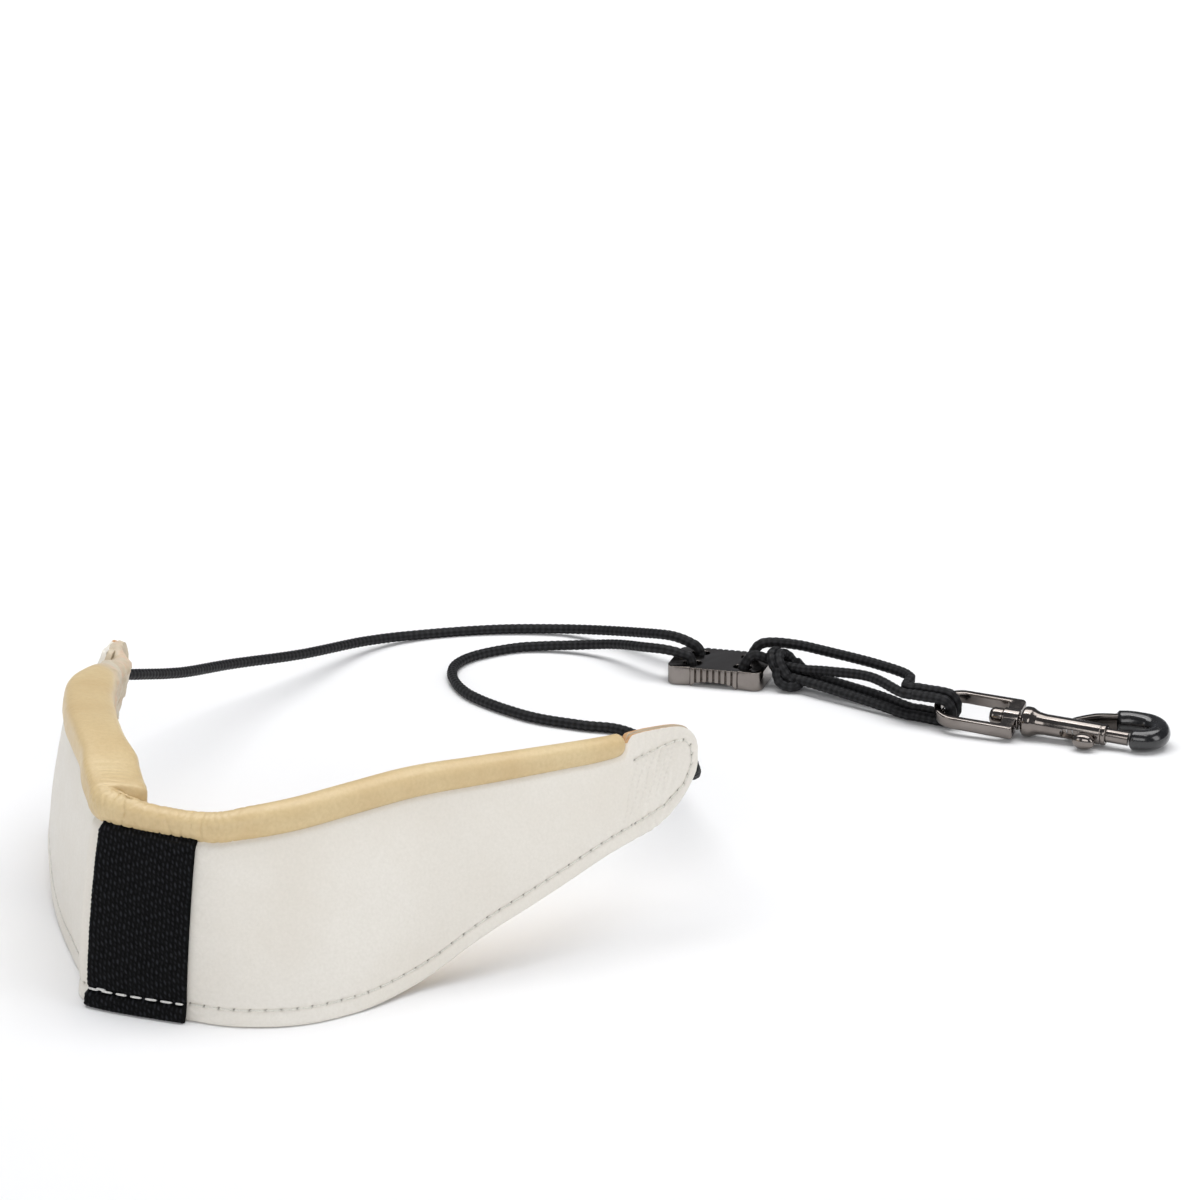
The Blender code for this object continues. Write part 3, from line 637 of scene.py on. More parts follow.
def black_webbing():
    """Coarse black polyester weave: painted highlight on the tops of the weave, painted shade near black in
    its gaps.
    """
    finish = Finish("black_webbing", 0.9, Specular_IOR_Level=0.12)
    # painted highlight and shade: the weave's relief value makes its tops lighter and its gaps the
    # near-black gap colour
    gap = (0.0006, 0.0007, 0.0009)
    tone = finish.mix(finish.ramp(finish.attribute("yarn"), 0.55, 1.0), gap, (0.024, 0.025, 0.030))
    finish.colour(finish.mottled(0.3, 4.0, 0.5, 0.75, tone, gap, 0.7))
    finish.rough(0.8, 3.0, 0.62, 0.85)
    finish.bump(finish.noise(0.16, 4.0), 0.06, 0.7)
    return finish.mat


def black_cord():
    """Braided nylon: the braid is in the mesh, its filaments are in the relief, and its colour is darkened
    in the braid's grooves as painted shade.
    """
    finish = Finish("black_cord", 0.65, Specular_IOR_Level=0.22)
    # painted shade: the braid's relief value darkens the grooves to near black
    raised = finish.ramp(finish.attribute("yarn"), 0.3, 1.0)
    tone = finish.mix(raised, (0.0015, 0.0015, 0.0018), (0.024, 0.0243, 0.0265))
    finish.colour(finish.mottled(0.5, 4.0, 0.4, 0.8, tone, (0.027, 0.027, 0.030), 0.5))
    finish.rough(1.0, 3.0, 0.5, 0.72)
    finish.bump(finish.noise(0.14, 3.0), 0.05, 0.6)
    return finish.mat


def gunmetal(name="gunmetal", brightness=1.0):
    """Polished black nickel with a warm tint and fine handling marks."""
    finish = Finish(name, 0.12, 1.0)
    # a brightness below 1 makes a darker copy of this metal, used as painted shade
    dark = tuple(brightness * c for c in (0.20, 0.178, 0.163))
    light = tuple(brightness * c for c in (0.25, 0.226, 0.21))
    finish.colour(finish.mottled(9.0, 3.0, 0.35, 0.65, dark, light))
    finish.rough(1.6, 6.0, 0.09, 0.19)
    finish.bump(finish.noise(0.25, 4.0, (1.0, 6.0, 6.0)), 0.004, 0.35)
    return finish.mat


def black_vinyl():
    """Dipped vinyl: glossy black with a slightly wavy skin."""
    finish = Finish("black_vinyl", 0.2, Coat_Weight=0.6, Coat_Roughness=0.08)
    finish.colour(finish.mottled(3.0, 3.0, 0.3, 0.7, (0.0045, 0.0045, 0.005), (0.009, 0.009, 0.010)))
    finish.rough(1.2, 4.0, 0.16, 0.3)
    finish.bump(finish.noise(2.2, 2.0), 0.10, 0.35)
    return finish.mat


def spring_steel():
    """Bright drawn wire."""
    finish = Finish("spring_steel", 0.3, 1.0)
    finish.colour(finish.mottled(1.0, 3.0, 0.3, 0.7, (0.48, 0.48, 0.49), (0.6, 0.6, 0.6)))
    finish.bump(finish.noise(0.1, 3.0), 0.01, 0.5)
    return finish.mat


def paper_floor():
    """White paper sweep that glows gently far from the object, as a lit backdrop does."""
    finish = Finish("paper_floor", 0.85)
    distance = finish.nodes.new("ShaderNodeVectorMath")
    distance.operation = "DISTANCE"
    finish.connect(distance.inputs[0], finish.place)
    finish.connect(distance.inputs[1], (90.0, 60.0, 0.0))
    glow = finish.ramp(distance.outputs["Value"], 180.0, 900.0, 0.0, 0.9)
    finish.feed(finish.shader, Emission_Color=(1.0, 1.0, 1.0, 1.0), Emission_Strength=glow)
    finish.colour(finish.mottled(300.0, 2.0, 0.3, 0.7, (0.90, 0.90, 0.905), (0.91, 0.91, 0.915)))
    return finish.mat


# ---------------------------------------------------------------- pad

def station_lists():
    """Feet, body tops and tip tops from the left tip through the fold to the right tip."""
    stations = [*reversed(LEFT_TIP), *reversed(LEFT_STATIONS), CREASE, *RIGHT_STATIONS, *RIGHT_TIP]
    feet = [drawn(foot) for foot, _ in stations]
    tops = [drawn(top) for _, top in stations]
    raised = [top.copy() for top in tops]
    for k in (TIP_STATIONS, len(stations) - 1 - TIP_STATIONS):
        raised[k] += (tops[k] - feet[k]).normalized() * TIP_RISE
    return feet, tops, raised


FEET, TOPS, RAISED = station_lists()


def even_places(first, last, spacing):
    """Places along the yoke at even distances in millimetres."""
    fine = np.linspace(first, last, 1200)
    length = lengths(np.array([(curve_at(FEET, u) + curve_at(TOPS, u)) / 2 for u in fine + FOLD_INDEX]))
    count = int(round(length[-1] / spacing)) + 1
    return np.interp(np.linspace(0.0, length[-1], count), length, fine)


class Strip:
    """Columns across the yoke: 0 at the fold, negative towards the left tip."""

    def __init__(self, places, raised=1.0):
        self.place = np.asarray(places, float)
        ends = np.where(self.place < 0, LEFT_END, RIGHT_END)
        self.share = np.clip(np.abs(self.place) / ends, 0.0, 1.0)
        self.tip = raised * smoothstep((np.abs(self.place) - ends + 0.12) / 0.3)
        foot, top, along = [], [], []
        for u, tip in zip(self.place + FOLD_INDEX, self.tip):
            low = curve_at(FEET, u)
            low.z = max(low.z, 0.0)
            foot.append(low)
            top.append(curve_at(TOPS, u).lerp(curve_at(RAISED, u), tip))
            ahead, behind = (curve_at(FEET, v) + curve_at(TOPS, v) for v in (u + 0.05, u - 0.05))
            along.append((ahead - behind).normalized())
        self.foot, self.top, self.along = (np.array(a) for a in (foot, top, along))
        span = self.top - self.foot
        self.width = np.linalg.norm(span, axis=1)
        self.rise = span / self.width[:, None]
        inward = np.cross(self.rise, self.along)
        self.inward = inward / np.linalg.norm(inward, axis=1)[:, None]
        arc = lengths((self.foot + self.top) / 2)
        self.arc = arc - np.interp(0.0, self.place, arc) if len(arc) > 1 else arc
        self.plump = 1.0 - 0.72 * self.share ** 2.2
        self.roll = 0.55 + 0.45 * self.plump - 0.18 * hump(self.arc, 17.0, 16.0)

    def points(self, height, depth):
        """Points at heights above the foot and depths inwards, one row of each per column."""
        level = -depth * (self.inward[:, 2] / self.rise[:, 2])[:, None] * np.clip(1 - height / 12.0, 0, None)
        return (self.foot[:, None, :] + self.rise[:, None, :] * (height + level)[:, :, None]
                + self.inward[:, None, :] * depth[:, :, None])

    def end_inset(self, radius):
        """How far the outline draws in near the two ends, to round their corners."""
        reach = np.minimum(self.arc - self.arc[0], self.arc[-1] - self.arc)
        return radius * rounding(1.0 - reach / radius)


def arc_at(place):
    """Distance along the yoke from the fold to a place near it."""
    strip = Strip(np.linspace(-1, 2, 200))
    return float(np.interp(place, strip.place, strip.arc))


LABEL_EDGE = arc_at(LABEL_TO)


def face_depth(strip, height):
    """Depth of the outer leather's face: a soft pillow above the flange, drawn in at both seams."""
    width = strip.width[:, None]
    tip = strip.tip[:, None]
    x = np.clip((height - SEAM_HEIGHT) / (width - SEAM_HEIGHT), 0.0, 1.0)
    pillow = -1.0 * strip.plump[:, None] * np.sin(pi * x) ** 0.7
    seam = 0.16 * hump(height, SEAM_HEIGHT, 0.7)
    ditch = 0.9 * smoothstep((height - width + 2.2) / 2.2)
    return (pillow + ditch) * (1.0 - tip) + seam * (1 - 0.4 * tip) + 0.8 * rounding(1 - height / 1.3)


def seam_stitches():
    """Needle holes, as runs of (place, height) with their spacing: the lower seam and the tips' outlines."""
    around = ((0.3, 0.16), (1.2, 0.17), (2.1, 0.2), (2.55, 0.34), (2.6, 0.6),
              (2.45, 0.8), (1.9, 0.84), (1.1, 0.81), (0.25, 0.76))
    runs = []
    for side, end in HALVES:
        first = 1.02 if side > 0 else 0.12
        runs.append(([(side * v, SEAM_HEIGHT) for v in np.linspace(first, end + 0.2, 60)], SEAM_STITCH))
        runs.append(([(side * (end + beyond), -share) for beyond, share in around], TIP_STITCH))
    return runs


def tip_rows():
    """Slanted rows of quilting stitches on the tips."""
    rows = []
    for side, end in HALVES:
        for k in range(6):
            v = end + 0.34 + 0.24 * k
            row = [(side * (v - 0.42 * x + 0.025 * sin(9 * x + k)), -(0.76 - (0.5 - 0.02 * k) * x))
                   for x in np.linspace(0.0, 1.0, 14)]
            rows.append((row, ROW_STITCH))
    return rows


def run_points(run, spacing):
    """Even points on the outer face along a run; a negative height is a share of the width."""
    strip = Strip([v for v, _ in run])
    heights = np.array([h if h >= 0 else -h * w for (_, h), w in zip(run, strip.width)])[:, None]
    return resample(strip.points(heights, face_depth(strip, heights))[:, 0, :], spacing)


def dent(points, holes, reach):
    """How strongly each point belongs to the nearest needle hole."""
    flat = points.reshape(-1, 3)
    share = np.zeros(len(flat))
    for hole in holes:
        share = np.maximum(share, hump(np.linalg.norm(flat - hole, axis=1), 0.0, reach))
    return share.reshape(points.shape[:2])


def leather_puckers(strip, height):
    """Small gathers in the outer leather beside the label and at the stitched tip."""
    arc = strip.arc[:, None]
    beside = hump(arc, LABEL_EDGE + 2.2, 2.0) + 0.5 * hump(arc, LABEL_EDGE + 5.5, 3.0)
    ripple = np.sin(height * 3.1 + 1.3 * np.sin(arc * 1.7)) * np.sin(height * 1.27 + arc * 0.9)
    quilted = strip.tip[:, None] * hump(arc, strip.arc[-1] - 13.0, 6.5)
    rows = np.sin(2.2 * (arc - 0.22 * height) + 0.9 * np.sin(height * 0.9 + arc * 0.5))
    folds = crumples(np.stack(np.broadcast_arrays(arc, height, np.zeros_like(height)), axis=2), 9)
    return 0.13 * beside * ripple + 0.12 * quilted * (rows + folds)


def add_outer_leather(mats, holes, row_holes):
    """One white skin from tip to tip, with its raw edge showing round the tips."""
    strip = Strip(even_places(-LEFT_END - TIP_STATIONS, RIGHT_END + TIP_STATIONS, OUTER_STEP))
    low = np.concatenate((np.linspace(0.0, 1.3, 6), np.linspace(1.6, 6.4, 21)))
    high = np.linspace(0.0, 1.0, 60)[1:]
    top = strip.width - 0.15 * (1 - strip.tip)
    inset = strip.end_inset(2.4)
    outer = np.concatenate((np.repeat(low[None, :], len(top), 0),
                            low[-1] + high[None, :] * (top[:, None] - low[-1])), axis=1)
    outer = inset[:, None] + outer * ((top - 2 * inset) / top)[:, None]
    inner = outer[:, ::-1][:, ::6]
    depth = face_depth(strip, outer)
    surface = strip.points(outer, depth)
    sunk = dent(surface, holes, 0.36)
    rows = dent(surface, row_holes, 0.42)
    wave = 0.12 * grain(surface, 14.0, 1) + leather_puckers(strip, outer)
    surface = strip.points(outer, depth + 0.45 * sunk + 0.24 * rows - wave)
    back = strip.points(inner, LEATHER + np.minimum(face_depth(strip, inner), 0.3))
    rings = np.concatenate((surface, back), axis=1)
    count, sides = rings.shape[:2]
    raw = ((strip.place > RIGHT_END) | (strip.place < -LEFT_END - 1.7)) & (strip.tip >= 0.5)
    kinds = np.zeros((count - 1, sides), int)
    kinds[raw[:-1], outer.shape[1] - 1] = 1
    # painted shade for the white leather's colour: full in the needle holes, faint along the quilting rows
    marks = np.zeros((count, sides))
    marks[:, :outer.shape[1]] = np.clip(sunk * 1.6 - 0.55, 0, 1) + 0.14 * np.clip(rows * 1.6 - 0.8, 0, 1)
    return add_skin("outer_leather", rings, mats, [*kinds.ravel().tolist(), 1, 1], hole=marks)


def reach_to_line(strip, start, end):
    """Distance inwards from each column's top to a line drawn in plan."""
    start, end = np.array(start), np.array(end)
    along = (end - start) / np.linalg.norm(end - start)
    normal = np.array((-along[1], along[0]))
    speed = strip.inward[:, :2] @ normal
    reach = ((start - strip.top[:, :2]) @ normal) / np.where(np.abs(speed) < 0.05, 0.05, speed)
    return np.where(reach > 0, reach, 99.0)


def fullness(strip):
    """Extra depth of padding: the left half is pushed together, and the inner corner is filled."""
    left = 4.6 * smoothstep((-strip.arc - 2.0) / 22.0) * (1 - 0.9 * smoothstep((-strip.arc - 80.0) / 30.0))
    left -= 0.9 * hump(strip.arc, -36.0, 14.0)
    to_corner = np.minimum(reach_to_line(strip, *CORNER_LEFT), reach_to_line(strip, *CORNER_RIGHT))
    corner = to_corner - ROLL_INSET - ROLL_RADIUS * strip.roll
    near = smoothstep((24.0 - np.abs(strip.arc + 2.0)) / 8.0)
    return left + (np.clip(corner, 0.0, 9.0) - left) * near


def lining_outline(strip):
    """Heights and depths of the tan cushion: rolled top edge, crowned inner face, flange and back."""
    count = len(strip.place)
    width, plump, roll = (a[:, None] for a in (strip.width, strip.plump, strip.roll))
    fill = fullness(strip)[:, None]
    radius = ROLL_RADIUS * roll
    squareness = 1.0 - 0.42 * np.clip(fill / 4.0, 0.0, 1.0)
    up = signed_power(np.cos(ROLL_ANGLES)[None, :], squareness)
    out = signed_power(np.sin(ROLL_ANGLES)[None, :], squareness)
    roll_centre = width + ROLL_RISE * roll
    spread = np.where(ROLL_ANGLES > -pi / 2, fill / 2, 0.0) * (1 + out)
    lean = 3.6 * smoothstep((-strip.arc - 78.0) / 38.0)[:, None]      # where the left half narrows
    inset = ROLL_INSET + lean
    bulge = 1.4 * hump(strip.arc, -18.0, 9.0)[:, None] * (1 - out) / 2
    x = np.linspace(0.985, 0.0, 48)[None, :]
    swell = FLANGE_DEPTH + (inset + radius + fill - FLANGE_DEPTH) * (1 - (1 - x) ** 6)
    back_height = np.concatenate((np.full((count, 1), 0.3), width * np.linspace(0.1, 0.9, 8)[None, :],
                                  width - 0.8), axis=1)
    heights = (roll_centre + radius * up,
               FLANGE_TOP + (roll_centre - FLANGE_TOP) * x,
               np.repeat([[2.6, 1.7, 0.9, 0.3]], count, 0),
               back_height)
    depths = (inset + radius * out + spread - bulge,
              swell + (SWELL * plump + 0.1 * fill) * np.sin(pi * x ** 0.7) ** 2,
              np.repeat([[2.6, 2.55, 2.4, 2.0]], count, 0),
              np.full_like(back_height, LEATHER + 0.1))
    return np.concatenate(heights, axis=1), np.concatenate(depths, axis=1)


def rounded_knuckle(rings, strip):
    """Round off the outer side of the rolled edge where it turns the corner."""
    outer = 1.0 - smoothstep((np.degrees(ROLL_ANGLES) + 35.0) / 50.0)
    share = hump(strip.arc, CORNER_ARC, 13.0)[:, None] * outer[None, :]
    roll = smoothed(rings[:, :len(ROLL_ANGLES)], share[:, :, None], 110)
    return np.concatenate((roll, rings[:, len(ROLL_ANGLES):]), axis=1)


def filled_corner(rings, strip):
    """Raise the top of the inner corner to the level around it and soften it, so no hollow is left."""
    rows = np.flatnonzero(np.abs(strip.arc - CORNER_ARC) < 18.0)
    columns = slice(20, 64)
    patch = rings[rows, columns]
    flat = patch.reshape(-1, 3)
    gap = flat[:, None, :2] - flat[None, :, :2]
    weight = np.exp(-(gap[:, :, 0] ** 2 + gap[:, :, 1] ** 2) / 12.0) * (flat[None, :, 2] > 42.0)
    level = (weight @ flat[:, 2]) / np.maximum(weight.sum(axis=1), 1e-6) + 0.3
    near = hump(strip.arc[rows], CORNER_ARC, 8.5)[:, None]
    height = patch[:, :, 2]
    inner = smoothstep((np.arange(patch.shape[1])[None, :] - 6.0) / 12.0)
    upper = smoothstep((height - 39.5) / 3.0) * near * inner
    patch[:, :, 2] = height + (np.maximum(height, level.reshape(height.shape)) - height) * upper
    for _ in range(28):
        middle = patch.copy()
        middle[1:-1, 1:-1] = (patch[:-2, 1:-1] + patch[2:, 1:-1] + patch[1:-1, :-2] + patch[1:-1, 2:]) / 4
        patch = patch + (middle - patch) * (near * inner)[:, :, None] * 0.9
    rings = rings.copy()
    rings[rows, columns] = patch
    return rings


def roll_wrinkles(arc, angle):
    """Fine gathers across the rolled edge behind the neck, strongest just right of the label."""
    where = hump(arc, 22.0, 16.0) + hump(arc, 2.0, 7.0) + 0.5 * hump(arc, -12.0, 9.0)
    sway = 0.6 * np.sin(angle * 1.7 + arc * 0.13) + 0.35 * np.sin(angle * 3.1 - arc * 0.41)
    first = -(1 - np.abs(np.sin(pi * (arc + sway) / 2.9))) ** 3
    second = -(1 - np.abs(np.sin(pi * (arc - sway * 1.4) / 1.7 + 0.8))) ** 3
    patch = 0.5 + 0.5 * np.sin(arc * 0.53 + 2.0 * np.sin(angle + arc * 0.07))
    return where * (0.40 * first * patch + 0.30 * second * (1 - 0.5 * patch))


def gathered(rings, strip):
    """Press the fine gathers into the rolled edge."""
    roll = rings[:, :len(ROLL_ANGLES)]
    spoke = roll - roll.mean(axis=1)[:, None, :]
    spoke /= np.linalg.norm(spoke, axis=2)[:, :, None]
    roll = roll + spoke * roll_wrinkles(strip.arc[:, None], ROLL_ANGLES[None, :])[:, :, None]
    return np.concatenate((roll, rings[:, len(ROLL_ANGLES):]), axis=1)


def corner_crease(rings):
    """The short curved crease where the cushion is pinched at its inner corner, and painted shade along its
    valley.
    """
    line = bow(*(np.array(p) for p in CREASE_LINE), np.linspace(0.0, 1.0, 40)[:, None])
    flat = rings.reshape(-1, 3)
    gap = np.min(np.linalg.norm(flat[:, None, :2] - line[None, :, :], axis=2), axis=1)
    gap = np.where(flat[:, 2] > 41.0, gap, 9.0).reshape(rings.shape[:2])
    valley = hump(gap, 0.0, 0.5)
    rings = rings.copy()
    rings[:, :, 2] += 0.28 * hump(gap, 1.3, 0.9) - 0.9 * valley
    return rings, 0.8 * valley


def add_lining(mat):
    """The soft tan cushion: roll and inner face in one skin from end to end."""
    strip = Strip(even_places(-LEFT_END - 1.9, RIGHT_END + 0.02, CUSHION_STEP), 0.0)
    heights, depths = lining_outline(strip)
    width, from_left = strip.width[:, None], (strip.arc - strip.arc[0])[:, None]
    keep = 1.0 - 0.75 * strip.end_inset(2.2)[:, None] / 2.2
    keep *= 1.0 - 0.5 * smoothstep((20.0 - from_left) / 20.0)
    tail = smoothstep((17.0 - from_left) / 14.0)
    heights = width + (heights - width) * keep - 1.6 * tail
    depths = ROLL_INSET + (depths - ROLL_INSET) * keep - 2.6 * tail
    rings = strip.points(heights, depths)
    inward = strip.inward[:, None, :]
    inner = smoothstep((depths - ROLL_INSET) / 3.0)[:, :, None]
    near = hump(strip.arc, CORNER_ARC, 9.0)[:, None, None]
    rings = rings + (smoothed(rings, 0.8 * near, 10) - rings) * inner      # the fold crowds its columns
    rings += inward * (0.16 * grain(rings, 11.0, 3))[:, :, None]
    rings = gathered(filled_corner(rounded_knuckle(rings, strip), strip), strip)
    pale = smoothstep((-strip.arc[:, None] - 99.0 + 0.7 * depths) / 7.0)
    rings += inward * (1.1 * pale * crumples(rings, 5))[:, :, None]
    # corner_crease also gives painted shade for the crease's valley, which the tan skin's colour mixes in
    rings, creased = corner_crease(rings)
    return add_skin("lining_cushion", rings, [mat], crease=creased, pale=pale)


def add_tip_backing(name, side, end, mats):
    """Inner layer of a stitched tip, a little taller than the outer one, with its raw edge."""
    first, last = sorted((side * (end - 0.45), side * (end + TIP_STATIONS)))
    strip = Strip(even_places(first, last, BACKING_STEP))
    inset = 3.0 * rounding(1.0 - np.abs(strip.arc - strip.arc[0 if side < 0 else -1]) / 3.0)
    top = strip.width + 0.45 * strip.tip
    outer = inset[:, None] + 0.2 + np.linspace(0.0, 1.0, 44)[None, :] * (top - 2 * inset - 0.2)[:, None]
    inner = outer[:, ::-1]
    surface = strip.points(outer, np.full_like(outer, LEATHER + 0.25))
    crumple = np.maximum(0.45 * crumples(surface, 7)[:, ::-1], -0.3)
    rings = np.concatenate((surface, strip.points(inner, 2 * LEATHER + 0.35 + crumple)), axis=1)
    count, sides = rings.shape[:2]
    raw = int(side > 0)
    kinds = [raw * int(j == outer.shape[1] - 1) for _ in range(count - 1) for j in range(sides)]
    return add_skin(name, rings, mats, kinds + [raw, raw])


def seam_thread(start, end):
    """A thread between two needle holes: it stands a little out of the leather and dips in at both."""
    along = Vector(end - start).normalized()
    out = along.cross(Vector((0.0, 0.0, 1.0)))
    if out.y > 0 and start[0] > 0 or out.x > 0 and start[0] <= 0:
        out = -out
    x = np.linspace(0.06, 0.94, 9)[:, None]
    path = start + (end - start) * x + np.array(out) * 0.12 * np.sin(pi * x) ** 0.6
    return thread_rings(path, x, SEAM_THREAD_RADIUS, 4, 0.03, 6)


def add_seam_stitches(runs, mat):
    """A short thread between each hole and the next."""
    tubes = []
    for holes in runs:
        for start, end in zip(holes, holes[1:]):
            if np.linalg.norm(end - start) <= LONGEST_STITCH:
                tubes.append(seam_thread(start, end))
    return add_threads("seam_stitches", tubes, mat)


def follow_fold(piece):
    """Pass a skin to bend() with points either side of the fold; bend() only bakes its placement, so the
    skin is not bent.
    """
    middle = joint_place("pad_fold")
    towards = Vector((-0.66, 0.752, 0.0)) * FOLD_REACH
    bend(piece, "pad_right", "pad_left", middle - towards, middle + towards)


# ---------------------------------------------------------------- label

def label_weave(across, height):
    """Relief of the webbing: upright columns of short yarns, from 0 in the gaps to 1 on their tops."""
    column = across / YARN + 0.10 * np.sin(height * 0.8) + 0.06 * np.sin(height * 2.3 + across)
    number = np.floor(column)
    row = height / (1.15 * YARN) + 0.5 * number + 0.7 * column + 0.16 * np.sin(number * 2.4 + height * 1.1)
    rib = np.abs(np.sin(pi * column)) ** 0.6
    tuft = np.abs(np.cos(pi * row)) ** 0.7
    uneven = 0.85 + 0.15 * np.sin(number * 1.7 + np.floor(row + 0.5) * 2.9)
    return rib * (0.45 + 0.55 * tuft) * uneven


def add_label(mat):
    """Webbing label with a folded hem at its foot."""
    strip = Strip(even_places(LABEL_FROM, LABEL_TO, LABEL_STEP))
    across = strip.arc - strip.arc[0]
    top = strip.width[:, None] + 0.7
    height = 0.05 + np.linspace(0.0, 1.0, 250)[None, :] * (top - 0.05)
    weave = label_weave(across[:, None], height)
    hem = smoothstep((SEAM_HEIGHT - 0.3 - height) / 0.9)
    side = np.clip(1 - np.minimum(across, across[-1] - across) / 0.5, 0, 1)[:, None]
    thick = (1.0 + 0.75 * hem - 0.35 * hump(height, SEAM_HEIGHT, 0.5) - 0.9 * rounding(1 - height / 0.9)
             - 0.45 * rounding(side) + 0.2 * weave)
    base = np.minimum(face_depth(strip, height), 0.25) - 0.2
    tuck = 1.1 * smoothstep((height - top + 2.4) / 2.0)
    outer = strip.points(height, base - thick + tuck)
    outer += strip.along[:, None, :] * (0.10 * np.sin(height * 2 * pi / YARN) * side)[:, :, None]
    inner = strip.points(height[:, ::-10], (base + tuck)[:, ::-10])
    rings = np.concatenate((outer, inner), axis=1)
    rings[:, :, 2] = np.maximum(rings[:, :, 2], 0.02)
    # the weave's relief, which the webbing's colour turns into painted highlight on the tops and painted
    # shade in the gaps
    yarn = np.zeros(rings.shape[:2])
    yarn[:, :height.shape[1]] = weave
    return add_skin("back_label_webbing", rings, [mat], yarn=yarn)


def add_label_stitches(mat):
    """Bold white dashes across the label, just above its hem, doubled at the first one."""
    strip = Strip(np.linspace(LABEL_FROM + 0.01, LABEL_TO - 0.02, 60))
    height = np.full((60, 1), SEAM_HEIGHT + 0.05)
    step = 0.05
    marks = resample(strip.points(height, face_depth(strip, height) - 1.15)[:, 0, :], step)
    total = len(marks) * step
    starts = [k * DASH_PITCH + 0.2 for k in range(int(total / DASH_PITCH) + 1)]
    dashes = [(start, start + DASH_LENGTH, 0.0) for start in starts] + [(2.6, 5.2, 0.35)]
    tubes = []
    for start, end, lift in dashes:
        piece = marks[int(start / step):int(min(end, total - 0.1) / step)]
        if len(piece) < 12:
            continue
        path = resample(piece, 0.25)
        x = np.linspace(0.0, 1.0, len(path))[:, None]
        path = path - strip.inward[30] * (0.05 + 0.3 * np.sin(pi * x) ** 0.45) + np.array((0.0, 0.0, lift))
        radius = DASH_RADIUS * (1 + 0.06 * np.sin(9 * pi * x))
        tubes.append(thread_rings(path, x, radius, 5, 0.02, 10))
    return add_threads("label_stitches", tubes, mat)


# ---------------------------------------------------------------- cords

PLATE_X = Vector(joints["adjuster_slide"]["axis"])
DROP = aim(joint_place("drop_swing"), joints["drop_feed"]["axis"])
PLATE = aim(joint_place("drop_swing") - PLATE_X * (PLATE_LONG / 2 - 0.2), PLATE_X)
HOOK_AXIS = joints["hook_swivel"]["axis"]
HOOK = aim(joint_place("hook_swivel"), HOOK_AXIS, HOOK_ROLL)
STUD = aim(joint_place("hook_swivel"), HOOK_AXIS, HOOK_ROLL + STUD_TILT)
BAIL = aim(joint_place("hook_swivel"), HOOK_AXIS, BAIL_ROLL)
LOOP_AXIS = (-cos(radians(LOOP_HEADING)), -sin(radians(LOOP_HEADING)), 0.0)
LOOPS = aim(joint_place("bail_swing"), LOOP_AXIS, -BAIL_ROLL)
FORWARD = HOOK.to_3x3() @ Vector((1.0, 0.0, 0.0))


def add_cord(name, path, mat, *nodes, first=0, last=None, body=None):
    """A braided piece between two points of a path."""
    angle = circle(CORD_SIDES)[None, :]
    run = lengths(path)[:, None] * 2 * pi / BRAID_PITCH
    weave = np.sin(BRAID_AROUND * angle + run / 2) * np.sin(BRAID_AROUND * angle - run / 2)
    weave = signed_power(weave, 0.8)
    rings = tube_rings(path, CORD_VISIBLE + BRAID_DEPTH * weave, CORD_SIDES)
    # the braid's relief, which the cord's colour turns into painted shade in its grooves
    obj = add_skin(name, rings[first:last], [mat], yarn=(0.5 + 0.5 * weave)[first:last])
    return settle(obj, "black_cord", *nodes, body=body)


def weave_points(side):
    """Path through the plate: down one hole, under the web and up the other."""
    low = 0.3 + CORD_RADIUS
    rise = [(HOLE_X + 1.3, 7.3), (HOLE_X + 0.2, 5.4), (HOLE_X - 0.35, 3.6), (HOLE_X - 2.2, low + 0.05)]
    points = [(-x, z) for x, z in rise] + [(0.0, low)] + rise[:0:-1]
    return at(PLATE, *((x, side * HOLE_Y, z) for x, z in points))


def long_cord(knots, above_plate, side):
    """Path of a long cord: through drawn knots, over the plate's edge and through two of its holes."""
    into = at(PLATE, *above_plate)
    through = weave_points(side)
    path = smooth_path([drawn(p) for p in knots] + into + through, CORD_STEP)
    last_on_table = knots[-3] if side < 0 else knots[-2]
    return eased(path, nearest(path, drawn(last_on_table)), nearest(path, through[0])), into


def add_right_cord(mat):
    """Right cord: off the tip, down to the table and round to the plate."""
    floor = CORD_RADIUS
    turn = (64.6, 251.7, floor)
    knots = [(121.0, 70.2, 36.0), (124.4, 71.2, 34.4), (125.8, 73.6, 30.6), (125.8, 82.0, 26.5),
             (124.0, 100.0, 20.5), (121.5, 130.0, 12.0), (118.5, 160.0, 4.5), (114.5, 178.0, 1.8),
             (107.5, 187.0, floor), (97.0, 190.5, floor), (81.5, 198.9, floor), (65.1, 217.4, floor),
             (59.6, 237.5, floor), turn, (80.0, 261.5, floor), (97.0, 260.0, 2.5), (108.0, 252.0, 5.5)]
    path, _ = long_cord(knots, ((-19.0, -6.0, 9.0), (-13.5, -5.4, 9.6)), -1)
    split = nearest(path, drawn(turn))
    first = add_cord("right_cord_to_pad", path, mat, "right_cord_run", last=split + 1)
    end = drawn(turn) * Vector((1.0, 1.0, 0.0))
    bend(first, "pad_right", "adjuster", end - Vector((0.0, 61.7, 0.0)), end)
    add_cord("right_cord_to_adjuster", path, mat, "right_cord_weave", first=split, body="adjuster")


